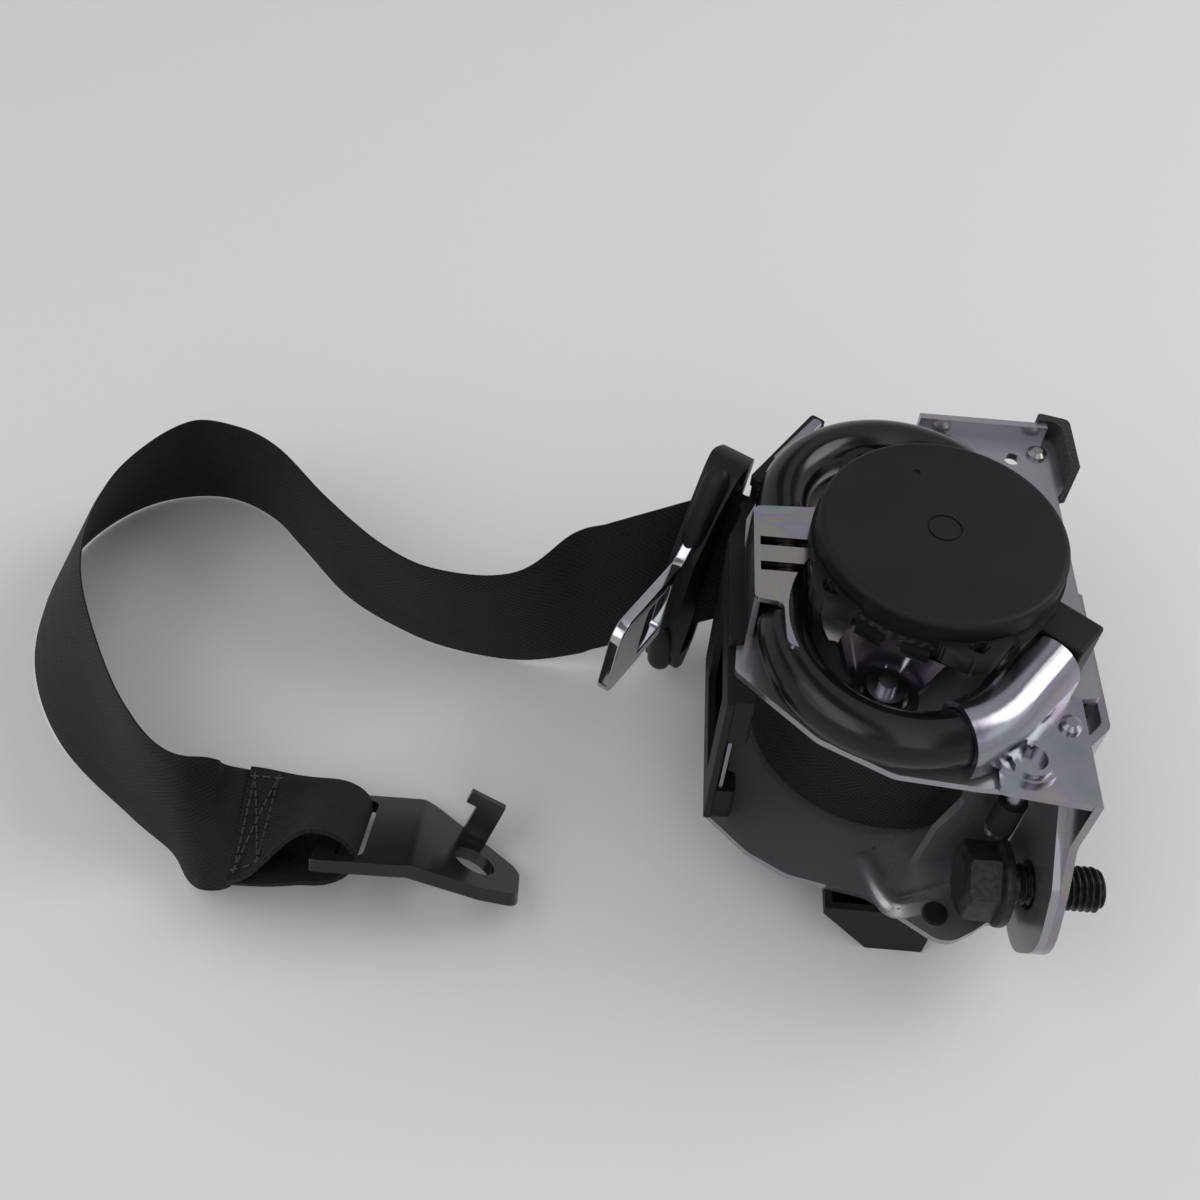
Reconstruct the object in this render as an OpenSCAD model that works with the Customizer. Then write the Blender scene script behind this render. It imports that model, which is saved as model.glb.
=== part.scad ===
// Seat belt retractor lying on its side: spool axis upright, cap upwards, belt leaving to the left.
// Millimetres, +Z up, floor at Z = 0, spool axis on X = Y = 0, mounting bolt along +X.

/* [Frame] */
// Sheet thickness of the frame, bracket and ear
plate_t = 2; // [1.6:0.1:2.4]
// Room between the belt's edges and the two side plates
belt_room = 2; // [1.5:0.1:3]
// Height of the mechanism cover under the lower plate
foot_h = 20; // [19:0.5:26]
// Distance from the spool axis to the inner face of the back web
web_x = 38.5; // [37.8:0.1:40]
// Thread hole in the ear and bracket, diameter
ear_hole_d = 12.6; // [12:0.1:14]
// Radius of the rounded ear round the bolt
ear_r = 17; // [15:0.5:19]
// Height of the ear's hole above the floor
ear_z = 35; // [34:0.5:38]
// Distance of the ear's hole from the spool axis, towards the viewer
ear_y = 55; // [54:0.5:58]

/* [Spool and belt] */
// Outer radius of the wound belt
roll_r = 36.5; // [30:0.5:37]
// Width of the belt
belt_w = 47; // [44:0.5:48]
// Thickness of the belt
belt_t = 1.2; // [1:0.1:1.4]
// Radius of the spool's hub under the belt
hub_r = 14; // [12:0.5:16]
// Radius of the torsion bar
bar_r = 4.5; // [4:0.1:5]

/* [Pretensioner] */
// Outside diameter of the ball tube
tube_d = 13.2; // [12:0.1:13.4]
// Wall of the ball tube
tube_wall = 1.2; // [1:0.1:1.6]
// Bend radius of the ball tube's centre line
tube_bend = 28; // [27.5:0.1:28.5]
// Sheet thickness of the zinc cover over the tube
cover_t = 1.5; // [1.2:0.1:1.8]
// Number of steel drive balls in the tube
ball_count = 14; // [8:1:15]

/* [Spring case] */
// Outer radius of the spring cap
cap_r = 29.6; // [28:0.2:31]
// Height of the spring case and cap together
case_h = 10.4; // [10:0.2:13]
// Wall of the spring case and cap
case_wall = 1.8; // [1.4:0.1:2.2]

/* [Mounting bolt] */
// Thread diameter, 7/16 inch
bolt_d = 11.1; // [10:0.1:11.2]
// Width across flats of the hexagon head
bolt_af = 17; // [15:0.5:18]
// Flange diameter under the head
bolt_flange_d = 22; // [20:0.5:23]
// Length of the threaded shank
bolt_len = 24; // [22:0.5:28]
// Gap between the flange and the ear as the loose bolt hangs
bolt_gap = 6; // [5:0.5:8]

/* [Tongue and anchor] */
// Length of the tongue's moulded body along the belt slot
tongue_l = 76; // [72:1:80]
// Reach of the steel blade out of the moulded body
blade_l = 42; // [34:1:46]
// Thickness of the tongue's steel plate
tongue_t = 3; // [2.5:0.1:3.4]
// Thickness of the anchor plate
anchor_t = 3.2; // [2.8:0.1:3.6]
// Bolt hole in the anchor plate, diameter
anchor_hole_d = 11.6; // [11:0.1:12.4]
// Width of the folded belt end in the anchor's slot
end_w = 33; // [28:1:36]

/* [Hidden] */
$fn = 64;

// Clearances: running fit on a shaft, gap between moving pieces, gap between loose neighbours
fit = 0.05;
gap = 0.3;
free = 0.6;

// Levels from the floor up
low_z0 = foot_h;
low_z1 = low_z0 + plate_t;
plate_gap = belt_w + 2 * belt_room;
up_z0 = low_z1 + plate_gap;
up_z1 = up_z0 + plate_t;
belt_mid = (low_z1 + up_z0) / 2;
tube_r = tube_d / 2;
tube_z = up_z1 + tube_r + 0.1;
lid_z0 = tube_z + tube_r + 0.1;
lid_z1 = lid_z0 + cover_t;
case_z0 = lid_z1;
case_z1 = case_z0 + case_h;

// Plan positions
web_out = web_x + plate_t;
bend_y = 20;
bend_x = -7;
tube_x = bend_x - tube_bend;
nut_x = -12;
nut_y = -33.5;
ear_x = 31;
bolt_tip = ear_x - bolt_gap + bolt_len;
bolt_seat = ear_x - bolt_gap;

// Guide wall: straight along the near side, then turned in towards the far corner, where the belt comes out
guide_x = -45.5;
guide_t = 2;
guide_y = 16;
guide_b = [guide_x - guide_t / 2, guide_y];
guide_e = [-37.6, 42];
guide_s = (guide_e - guide_b) / norm(guide_e - guide_b);
guide_turn = atan2(guide_s.y, guide_s.x) - 90;

// Belt run: it leaves the roll on a tangent, passes the guide's mouth and slopes down through the tongue
run_a = 95;
run_r = roll_r + gap + belt_t / 2;
run_d = [-sin(run_a), cos(run_a)];
run_0 = run_r * [cos(run_a), sin(run_a)];
function run(t) = run_0 + t * run_d;
mouth_t = cross(guide_b - run_0, guide_s) / cross(run_d, guide_s);
mouth = run(mouth_t);
run_fall = 0.45;
run_lean = 8.3;
slope_t = mouth_t + 5;
function slope_z(t) = belt_mid - run_fall * max(0, t - slope_t);
tongue_t0 = mouth_t + 12.5;
tongue_c = [run(tongue_t0).x, run(tongue_t0).y, slope_z(tongue_t0)];
// Tongue: direction of the blade, and of the belt slot across it
tongue_u = [-0.439, -0.878, 0.19] / norm([-0.439, -0.878, 0.19]);
tongue_w = cross(tongue_u, [0.137, 0.144, 0.979]);
tongue_n = tongue_w / norm(tongue_w);
tongue_v = cross(tongue_n, tongue_u);

// Free belt after the slope: x, y, height of the middle, lean from upright towards the loop's inside
belt_route = [
    [-103, 24, 23.9, 7], [-123, 24.6, 23.6, 11], [-139, 31, 23.6, 9], [-158, 44.5, 23.8, 4], [-176, 63, 23.8, 4],
    [-190, 73.5, 23.5, 10], [-206, 77.5, 23.1, 16], [-222, 70, 22.2, 24], [-233, 54, 21.6, 28],
    [-236, 33, 21.4, 29], [-232, 11, 21.6, 28], [-219, -12, 22.4, 23], [-198, -35, 23.4, 13], [-176, -49, 23.6, 11]];
// Folded end in the anchor: bar centre, lean of the bar, heading and dip of the plate
anchor_c = [-142.5, -47, 18.6];
anchor_lean = 126;
anchor_yaw = 2;
anchor_dip = 2;
tail_l = 6;
loop_ri = 6.5;

// Rounded outline through points [x, y, corner radius]
function unit(v) = v / norm(v);
function corner(p0, p1, p2, r, n) =
    let (a = unit(p0 - p1), b = unit(p2 - p1), half = acos(a * b) / 2,
        c = p1 + unit(a + b) * r / sin(half), d = r / tan(half),
        t0 = p1 + a * d - c, t1 = p1 + b * d - c,
        a0 = atan2(t0.y, t0.x), s = atan2(t1.y, t1.x) - a0,
        sweep = s > 180 ? s - 360 : s < -180 ? s + 360 : s)
    [for (i = [0:n]) c + r * [cos(a0 + sweep * i / n), sin(a0 + sweep * i / n)]];
function xy(p) = [p.x, p.y];
function rounded(pts, n = 5) =
    let (m = len(pts))
    [for (i = [0:m - 1]) each (pts[i].z > 0
        ? corner(xy(pts[(i + m - 1) % m]), xy(pts[i]), xy(pts[(i + 1) % m]), pts[i].z, n)
        : [xy(pts[i])])];

module slab(pts, z0, z1) {
    translate([0, 0, z0])
        linear_extrude(z1 - z0)
            polygon(rounded(pts));
}

// A sheet standing in the YZ plane, outline given as [y, z, corner radius]
module wall_x(pts, x0, x1) {
    translate([x0, 0, 0])
        rotate([90, 0, 90])
            linear_extrude(x1 - x0)
                polygon(rounded(pts));
}

module disc(r, z0, z1) {
    translate([0, 0, z0])
        cylinder(r = r, h = z1 - z0);
}

module ring(ro, ri, z0, z1) {
    difference() {
        disc(ro, z0, z1);
        disc(ri, z0 - 1, z1 + 1);
    }
}

module at(x, y) {
    translate([x, y, 0])
        children();
}

// Ear outline shared by the frame and the bracket, and the bolt's line through it
function ear_lobe(y_in, z_top) = [
    [y_in, z_top, 0], [-46, z_top - 8, 5], [-ear_y - 10, ear_z + ear_r - 2.5, 8],
    [-ear_y - ear_r - 1, ear_z - 1, ear_r * 0.8], [-ear_y - 9, ear_z - ear_r - 1.5, ear_r * 0.6],
    [-ear_y + 6, ear_z - ear_r - 2, 6], [y_in, low_z1 + 2, 0]];

module bolt_line(r, x0, x1) {
    translate([x0, -ear_y, ear_z])
        rotate([0, 90, 0])
            cylinder(r = r, h = x1 - x0);
}

// Frame: two side plates, back web, front wing and bolt ear, bent from one zinc plated sheet
lock_teeth = 16;
lock_crest = 21;
lock_root = 23.5;
lock_phase = -2.5;
wing_a = 16;
wing_0 = [7, -45];
wing_l = 25;

module lock_teeth_cut() {
    step = 360 / lock_teeth;
    translate([0, 0, low_z0 - 1])
        linear_extrude(plate_t + 2)
            polygon([for (i = [0:lock_teeth - 1]) each [
                lock_crest * [cos(i * step + lock_phase), sin(i * step + lock_phase)],
                lock_root * [cos(i * step + lock_phase), sin(i * step + lock_phase)]]]);
}

module frame_wing() {
    translate([wing_0.x, wing_0.y, 0])
        rotate([90, 0, wing_a])
            translate([0, 0, -plate_t])
                linear_extrude(plate_t)
                    polygon(rounded([[0, low_z1, 0], [wing_l, low_z1, 0], [wing_l, up_z0, 0], [3, up_z0, 0],
                        [5.5, up_z0 - 16, 9], [6, belt_mid + 3, 9], [1.6, belt_mid - 9, 0]]));
}

module frame() {
    color("silver") {
        difference() {
            slab([[-47, -34.5, 2], [-36, -45, 8], [-26, -50.5, 9], [-14, -53, 8], [-6, -54.5, 6], [3, -60, 4],
                [13, -66.5, 7], [20.5, -62, 5], [24.5, -59, 3], [29, -59.5, 3], [31, -46, 3], [web_out, -27, 3],
                [web_out, 50, 6], [30, 56, 8], [-14, 56, 16], [-36, 38, 10], [-43.5, 22, 5]], low_z0, low_z1);
            lock_teeth_cut();
        }
        difference() {
            slab([[-46, -27.5, 2], [-39, -34, 4], [-27, -45, 9], [-10, -53, 8], [9, -54.5, 1], [30, -55, 2],
                [31, -40, 2], [32.4, -28.2, 2], [web_out, -26.6, 1], [web_out, 40, 3], [43, 44, 3], [43, 63, 4], [4, 63, 3],
                [2, 59, 3], [-17, 57.5, 12], [-35, 41, 6], [-43, 22, 4]], up_z0, up_z1);
            disc(bush_ro, up_z0 - 1, up_z1 + 1);
            // Keyhole beside the far rivets
            at(30, 53)
                disc(2.2, up_z0 - 1, up_z1 + 1);
        }
        // Back web with a pressed stiffening bead
        difference() {
            union() {
                translate([web_x, -26, low_z1])
                    cube([plate_t, 76, plate_gap]);
                translate([web_out - 0.6, 2, low_z1 + 12])
                    cube([1.6, 36, 8]);
            }
            translate([web_x - 0.6, 3.5, low_z1 + 13.5])
                cube([1.6, 33, 5]);
        }
        // Far lip and the lip round the tube's bend
        translate([4.5, 61, up_z1])
            cube([35, plate_t, 5]);
        translate([bend_x, bend_y - 1, up_z1])
            rotate([0, 0, 74])
                rotate_extrude(angle = 27)
                    translate([tube_bend + tube_r + 1.4, 0])
                        square([plate_t, 4]);
        frame_wing();
        // Bolt ear, bent out of the wing towards the viewer
        difference() {
            wall_x(ear_lobe(-38.5, up_z0), ear_x, ear_x + plate_t);
            bolt_line(ear_hole_d / 2, ear_x - 1, ear_x + plate_t + 1);
        }
        // Pressed rib in the lower plate's near lobe
        translate([1, -57, low_z1])
            rotate([0, 0, 22])
                translate([0, -1.5, 0])
                    cube([20, 3, 1]);
    }
}

// Mounting bracket: second plate on the ear, folded over the upper plate, with the locating hook
hook_z0 = up_z0 - 21;
hook_z1 = up_z0 - 5;
hook_x = web_out + 2.2;

module mounting_bracket() {
    bx = ear_x + plate_t;
    color("lightgray") {
        difference() {
            union() {
                slab([[12.5, -56, 2], [bx + plate_t, -58.5, 0], [bx + plate_t, -28.6, 0], [29, -28.6, 3],
                    [21.5, -36.5, 6], [13, -48, 3]], up_z1, up_z1 + plate_t);
                wall_x([[-28.6, up_z1 + plate_t, 0], [-28.6, hook_z1 + 1, 2], [-40, hook_z1 + 1, 0],
                    [-40, hook_z0 - 4, 4], [-41.6, low_z1 + 2, 4],
                    [-ear_y + 6, ear_z - ear_r - 2, 6], [-ear_y - 9, ear_z - ear_r - 1.5, ear_r * 0.6],
                    [-ear_y - ear_r - 1, ear_z - 1, ear_r * 0.8], [-ear_y - 10, ear_z + ear_r - 2.5, 8],
                    [-58.5, ear_z + ear_r + 7, 5], [-58.5, up_z1 + plate_t, 0]], bx, bx + plate_t);
            }
            bolt_line(ear_hole_d / 2, bx - 1, bx + plate_t + 1);
        }
        // Locating hook: strip bent out past the web and back along it
        slab([[bx, -44, 0], [bx + plate_t, -44, 0], [bx + plate_t, -40, 2], [hook_x + plate_t, -30, 3],
            [hook_x + plate_t, 12, 0.8], [hook_x, 12, 0.8], [hook_x, -29, 2], [bx, -39.2, 1]], hook_z0, hook_z1);
    }
}

pin_x = 21;
pin_y = -48;
pin_r = 2.2;
pin_z0 = ear_z + bolt_flange_d / 2 + 2;

module spacer_pin() {
    color("gainsboro") at(pin_x, pin_y) {
        disc(pin_r, pin_z0, up_z0);
        disc(pin_r + 1.2, pin_z0, pin_z0 + 2);
    }
}

module pin_sleeve() {
    color("black") at(pin_x, pin_y)
        ring(pin_r + 1.3, pin_r, pin_z0 + 2, pin_z0 + 13);
}

// Felt strip stuck round the far right corner of the upper plate against rattle
module felt_pad() {
    color("dimgray")
        slab([[43, 44, 0], [45.6, 45, 1], [45.6, 64, 2], [37, 66, 1], [37, 63, 0], [43, 63, 3.6]], up_z0 - 5, up_z1 + 6);
}

module rivet_at(x, y, z) {
    translate([x, y, z]) {
        cylinder(r = 2.6, h = 0.9);
        translate([0, 0, 0.9])
            cylinder(r1 = 2.6, r2 = 1.4, h = 0.7);
    }
}

module rivets() {
    color("silver") {
        rivet_at(11.7, 57.5, up_z1);
        rivet_at(37, 55.5, up_z1);
        rivet_at(31, -37, up_z1 + plate_t);
    }
}

// Webbing guide: moulded frame on the belt's way out, with a lipped mouth
guide_z0 = low_z1 + 0.2;
guide_z1 = up_z0 - 0.2;
mouth_w = 7;

// Places along the guide's wall, set off to its outer (+) or inner (-) side
function guide_off(p, d) = p + d * [-guide_s.y, guide_s.x];

module at_mouth() {
    translate([mouth.x, mouth.y, 0])
        rotate([0, 0, guide_turn])
            children();
}

module webbing_guide() {
    lip_r = 2.2;
    half = guide_t / 2;
    skew = half * tan(-guide_turn / 2);
    outer_e = guide_off(guide_e, half);
    inner_e = guide_off(guide_e, -half);
    rail = [[guide_x - 0.5, -34, 0], [guide_x + 4.5, -32, 2], [guide_x + 4.5, guide_y - 2, 0], [-33, 38, 2],
        [guide_e.x + 0.2, guide_e.y - 1.4, 0], [guide_x - 0.5, guide_y, 0]];
    block = [[guide_x - 0.5, -35.2, 0], [guide_x + 5, -35.2, 1], [guide_x + 5, -29, 1], [guide_x - 0.5, -29, 0]];
    color("black") {
        difference() {
            union() {
                slab([[guide_x - guide_t, -36, 0.6], [guide_x, -36, 0.6], [guide_x, guide_y - skew, 0],
                    [inner_e.x, inner_e.y, 0.6], [outer_e.x, outer_e.y, 0.6],
                    [guide_x - guide_t, guide_y + skew, 0]], guide_z0, guide_z1);
                // Rails along the two plates
                slab(rail, guide_z0, guide_z0 + 1);
                slab(rail, guide_z1 - 1, guide_z1);
            }
            // Mouth for the belt
            at_mouth()
                translate([-9, -mouth_w / 2, guide_z0 + 1.2])
                    cube([18, mouth_w, guide_z1 - guide_z0 - 2.4]);
            // Openings that lighten the near half
            translate([guide_x - 9, -27, guide_z0 + 9])
                cube([18, 30, 32]);
        }
        // Rounded lips on both sides of the mouth
        for (s = [-1, 1])
            at_mouth()
                at(0, s * (mouth_w / 2 + lip_r - 0.5))
                    disc(lip_r, guide_z0 + 0.4, guide_z1 - 0.4);
        // Blocks at the near end that hold the tie
        slab(block, guide_z1 - 17, guide_z1);
        slab(block, guide_z0, guide_z0 + 12);
        // Rim that hooks over the upper plate along the left side
        translate([guide_x - guide_t + 0.2, -19.5, guide_z1 - 0.5])
            cube([guide_t - 0.4, guide_y + 18, up_z1 - guide_z1 + 1]);
        slab([[guide_x - guide_t, -20, 1], [tube_x - shell_ro - 0.4, -20, 1], [tube_x - shell_ro - 0.4, guide_y - 1, 1],
            [guide_x - guide_t, guide_y - 1, 1]], up_z1, up_z1 + 2);
        // Corner arm over the upper plate, on a post at the far end
        slab([[-40.9, 34.6, 0], [-39.3, 34.2, 0], [-37.3, 40.2, 0], [-38.7, 40.8, 0]], guide_z1 - 0.5, up_z1 + 1);
        slab([[-42.4, 34.6, 1], [-39.2, 32.3, 1], [-21.3, 58.4, 1], [-25, 61, 1]], up_z1, up_z1 + 3);
    }
}

// Zinc ties: one strip clipped into the guide's near end, one over its far corner
module guide_tie() {
    color("silver") {
        translate([guide_x + 0.4, -34.5, guide_z0 + 12])
            cube([1.2, 4.4, guide_z1 - guide_z0 - 29]);
        slab([[-36.4, 41.5, 1], [-34.2, 39.8, 1], [-22.4, 56.6, 1], [-24.6, 58.4, 1]], up_z1 + 3, up_z1 + 4.2);
    }
}

// Mechanism cover: moulded dish over the lock mechanism, with the vehicle sensor's chamber in front
cover_ro = 34;
cover_wall = 2;
sensor_x0 = -16;
sensor_x1 = 13;
sensor_y0 = -58;
ball_r = 5;
ball_c = [6, -46, 10];

module sensor_chamber(inset, y0, y1) {
    translate([0, y1, 0])
        rotate([90, 0, 0])
            linear_extrude(y1 - y0)
                polygon([[sensor_x0 + inset, low_z0 + (inset > 0 ? 1 : 0)], [sensor_x0 + inset, low_z0 - 3],
                    [-2 + inset, inset], [sensor_x1 - inset, inset],
                    [sensor_x1 - inset, low_z0 + (inset > 0 ? 1 : 0)]]);
}

module mechanism_cover() {
    color("black") {
        difference() {
            union() {
                disc(cover_ro, 0, low_z0);
                sensor_chamber(0, sensor_y0, -20);
            }
            disc(cover_ro - cover_wall, cover_wall, low_z0 + 1);
            sensor_chamber(cover_wall, sensor_y0 + cover_wall, -18);
        }
        // Boss for the lower bush
        ring(9, bush_ri, cover_wall, cover_wall + 1);
        // Stop beside the sensor ball, and the lever's pivot pin
        translate([ball_c.x + ball_r + gap, ball_c.y - 4, cover_wall])
            cube([sensor_x1 - cover_wall - ball_c.x - ball_r - gap, 8, ball_c.z + 3 - cover_wall]);
        at(lever_px, lever_py)
            disc(lever_pin_r, lever_z0 - 5, low_z0 - 0.4);
        // Seat under the ball
        at(ball_c.x, ball_c.y + 1)
            disc(4.4, cover_wall, ball_c.z - ball_r - 0.1);
    }
}

module cover_plug() {
    color("black") at(11, -58.5) {
        disc(3, low_z1, low_z1 + 1.4);
        disc(1.4, low_z1 + 1.4, low_z1 + 2);
    }
}

// Bearing bushes of the spool
bush_ri = bar_r + fit;
bush_ro = 11.5;

module lower_bush() {
    color("white")
        ring(7, bush_ri, cover_wall + 1, cover_wall + 4);
}

module upper_bush() {
    color("white")
        ring(bush_ro, pinion_hub + fit, up_z0, up_z1);
}

// Zinc cover: lid over the pinion, arch over the tube on the left, pocket for the nut, shell over the generator
lid_r = 28;
shell_ri = tube_r + 0.2;
shell_ro = shell_ri + cover_t;
gen_a = 52;
gen_end = [bend_x + tube_bend * cos(gen_a - 90), -bend_y + tube_bend * sin(gen_a - 90)];
shell_l = 18;
shell_a0 = 291;
skirt_z = up_z1 + plate_t;
slot_w = 2.8;

// Arched solid over the tube: round above, straight sides below, from angle a0 to the generator's end
module arch_solid(r, z_low, a0, l) {
    sweep = gen_a + 270 - a0;
    at(bend_x, -bend_y)
        rotate([0, 0, a0]) {
            rotate_extrude(angle = sweep, $fn = 96)
                translate([tube_bend, tube_z])
                    circle(r);
            rotate_extrude(angle = sweep, $fn = 96)
                translate([tube_bend - r, z_low])
                    square([2 * r, tube_z - z_low]);
        }
    translate([gen_end.x, gen_end.y, 0])
        rotate([0, 0, gen_a]) {
            translate([0, 0, tube_z])
                rotate([0, 90, 0])
                    cylinder(r = r, h = l);
            translate([0, -r, z_low])
                cube([l, 2 * r, tube_z - z_low]);
        }
}

module generator_shell() {
    difference() {
        arch_solid(shell_ro, skirt_z, shell_a0, shell_l);
        arch_solid(shell_ri, skirt_z - 4, shell_a0 - 3, shell_l + 2);
    }
}

module pretensioner_cover() {
    color("lightgray") {
        difference() {
            union() {
                disc(lid_r, lid_z0, lid_z1);
                // Arch over the tube and the flat tongue in front of it
                slab([[tube_x - shell_ro, 12.5, 2], [-20, 14, 0], [-12, -18, 0], [-19, -26, 2], [-23, -29.5, 2],
                    [-26.5, -27.5, 2.5], [-31, -31.5, 3], [-36, -30, 2.5], [-36.5, -18, 2],
                    [tube_x - shell_ro, -17, 1.5]], lid_z0, lid_z1);
                // Bridge to the generator's shell
                slab([[2, -24, 0], [4, -30, 3], [10, -33, 0], [21, -20, 0], [22, -10, 0]], lid_z0, lid_z1);
            }
            disc(arbor_r + 1, lid_z0 - 1, lid_z1 + 1);
            at(nut_x, nut_y)
                disc(13.5, lid_z0 - 1, lid_z1 + 1);
            // Two slots across the arch with a narrow bridge between them
            for (y = [1, -7])
                translate([tube_x - tube_r - 0.2, y - slot_w / 2, lid_z0 - 1])
                    cube([12.5, slot_w, cover_t + 2]);
            at(bend_x, -bend_y)
                ring(tube_bend + 0.5, tube_bend - shell_ri, lid_z0 - 1, lid_z1 + 1);
        }
        // Side wall on the left, down to the upper plate
        translate([tube_x - shell_ro, -17, up_z1])
            cube([cover_t, 29.5, lid_z0 - up_z1]);
        // Pocket: floor and cone wall on the far side
        at(nut_x, nut_y) {
            rotate([0, 0, 12])
                rotate_extrude(angle = 140)
                    polygon([[8, up_z1 + 2], [9.4, up_z1 + 2], [15, lid_z1], [13.4, lid_z1]]);
            ring(8.2, 2.4, up_z1, up_z1 + 3);
        }
        generator_shell();
        // Flange with the flanged hole
        difference() {
            union() {
                slab([[13, -50, 1], [19, -55.5, 5], [26.5, -52, 5], [26, -44, 4], [26.2, -38.6, 2.5],
                    [22.7, -34.6, 0], [17, -40, 0]], skirt_z, skirt_z + cover_t);
                at(20, -48.5)
                    disc(4.8, skirt_z + cover_t, skirt_z + cover_t + 1.2);
            }
            at(20, -48.5)
                disc(3.4, skirt_z - 1, skirt_z + cover_t + 3);
            at(bend_x, -bend_y)
                ring(tube_bend + shell_ri + 0.4, tube_bend - 2, skirt_z - 1, tube_z);
            translate([gen_end.x, gen_end.y, skirt_z - 1])
                rotate([0, 0, gen_a])
                    translate([-1, -shell_ri - 0.4, 0])
                        cube([shell_l + 3, 2 * shell_ri + 0.8, tube_z - skirt_z]);
        }
    }
}

// Ball tube: bent steel tube from the gas generator round the left side to the pinion's far side
far_end_a = 45;

// The straight length is drawn a hair thinner than the bends it butts against
draw_step = 0.03;

module tube_bend_part(y, a0, sweep) {
    at(bend_x, y)
        rotate([0, 0, a0])
            rotate_extrude(angle = sweep, $fn = 96)
                translate([tube_bend, tube_z])
                    difference() {
                        circle(tube_r);
                        circle(tube_r - tube_wall);
                    }
}

module pretensioner_tube() {
    color([0.05, 0.05, 0.06]) {
        tube_bend_part(-bend_y, 180, 90 + gen_a);
        translate([tube_x, -bend_y, tube_z])
            rotate([-90, 0, 0])
                ring(tube_r - draw_step, tube_r - tube_wall + draw_step, 0, tube_straight);
        tube_bend_part(bend_y - 1, far_end_a, 180 - far_end_a);
    }
}

module generator_axis() {
    translate([gen_end.x, gen_end.y, tube_z])
        rotate([0, 90, gen_a])
            children();
}

module gas_generator() {
    color("silver")
        generator_axis() {
            translate([0, 0, 0])
                cylinder(r = tube_r, h = 15);
            translate([0, 0, 15])
                cylinder(r = tube_r - 1.2, h = 4);
        }
}

module squib_connector() {
    color("black")
        translate([gen_end.x, gen_end.y, 0])
            rotate([0, 0, gen_a])
                difference() {
                    translate([19, -6, up_z1])
                        cube([11, 12, lid_z1 - up_z1]);
                    translate([24, -4, tube_z - 3.5])
                        cube([8, 8, 7]);
                }
}

// Steel balls in a row behind the seal, along the tube's first bend and straight
ball_d = tube_d - 2 * tube_wall - 0.4;
near_arc = tube_bend * (90 + gen_a) * PI / 180;
tube_straight = 2 * bend_y - 1;

function tube_point(s) =
    s < near_arc
    ? let (a = gen_a - 90 - s / tube_bend * 180 / PI)
        [bend_x + tube_bend * cos(a), -bend_y + tube_bend * sin(a)]
    : s < near_arc + tube_straight
    ? [tube_x, -bend_y + s - near_arc]
    : let (a = 180 - (s - near_arc - tube_straight) / tube_bend * 180 / PI)
        [bend_x + tube_bend * cos(a), bend_y - 1 + tube_bend * sin(a)];

module drive_balls() {
    color("dimgray")
        for (i = [0:ball_count - 1])
            let (p = tube_point(9 + i * (ball_d + 0.15) * 1.012))
            translate([p.x, p.y, tube_z - tube_r + tube_wall + ball_d / 2 + 0.1])
                sphere(d = ball_d, $fn = 32);
}

module cover_nut() {
    color("gainsboro") at(nut_x, nut_y) {
        disc(6.8, up_z1 + 3, up_z1 + 4);
        translate([0, 0, up_z1 + 4])
            cylinder(r1 = 5.6, r2 = 4.6, h = 2.4);
        disc(2.3, up_z1, up_z1 + 3);
        disc(2.2, up_z1 + 6.4, up_z1 + 8.6);
    }
}

// Spring case on top: housing with open lugs, and the round cap
seam_z = case_z0 + 4;
lug_angles = [122, 212, 281];
clip_angles = [236, 256];

module lug(a) {
    rotate([0, 0, a])
        difference() {
            slab([[cap_r - 3, -9, 0], [cap_r + 1, -8, 2], [cap_r + 5.4, -2.4, 2], [cap_r + 5.4, 2.4, 2],
                [cap_r + 1, 8, 2], [cap_r - 3, 9, 0]], case_z0, seam_z + 1.2);
            slab([[cap_r + 0.6, -5, 1], [cap_r + 3.8, 0, 1.2], [cap_r + 0.6, 5, 1]], case_z0 + 1, seam_z + 3);
        }
}

module spring_housing() {
    color([0.06, 0.06, 0.06]) {
        difference() {
            union() {
                disc(cap_r + 0.8, case_z0, seam_z);
                for (a = lug_angles)
                    lug(a);
                for (a = clip_angles)
                    rotate([0, 0, a])
                        translate([cap_r, -3.2, case_z0])
                            cube([3, 6.4, 2.4]);
            }
            disc(cap_r - case_wall - 1.6, case_z0 + case_wall, case_z1);
            disc(arbor_r + 0.6, case_z0 - 1, case_z1);
            // Seat for the cap's skirt
            disc(cap_r + 0.2, seam_z, case_z1);
        }
        ring(cap_r - case_wall - 0.2, cap_r - case_wall - 1.6, seam_z - 0.5, case_z1 - case_wall - 1);
    }
}

module spring_cap() {
    edge = 1.6;
    color([0.05, 0.05, 0.05])
        difference() {
            rotate_extrude($fn = 128)
                polygon(concat([[0, seam_z], [cap_r, seam_z], [cap_r, case_z1 - edge]],
                    [for (i = [1:5]) [cap_r - edge + edge * cos(i * 18), case_z1 - edge + edge * sin(i * 18)]],
                    [[0, case_z1]]));
            disc(cap_r - case_wall, seam_z - 1, case_z1 - case_wall);
            // Shallow ring round the gate mark and a small pip, moulded in the lid
            ring(4.2, 3.7, case_z1 - 0.3, case_z1 + 1);
            at(-5, 18)
                disc(0.9, case_z1 - 0.3, case_z1 + 1);
        }
}

// Return spring: flat steel strip wound in a spiral from the arbor to the case wall
arbor_r = 6.5;
spring_t = 0.5;
spring_turns = 7;
spring_r0 = arbor_r + 0.8;
spring_r1 = cap_r - case_wall - 1.6 - gap - spring_t;
spring_z0 = case_z0 + case_wall + gap;
spring_z1 = case_z1 - case_wall - gap;

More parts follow.
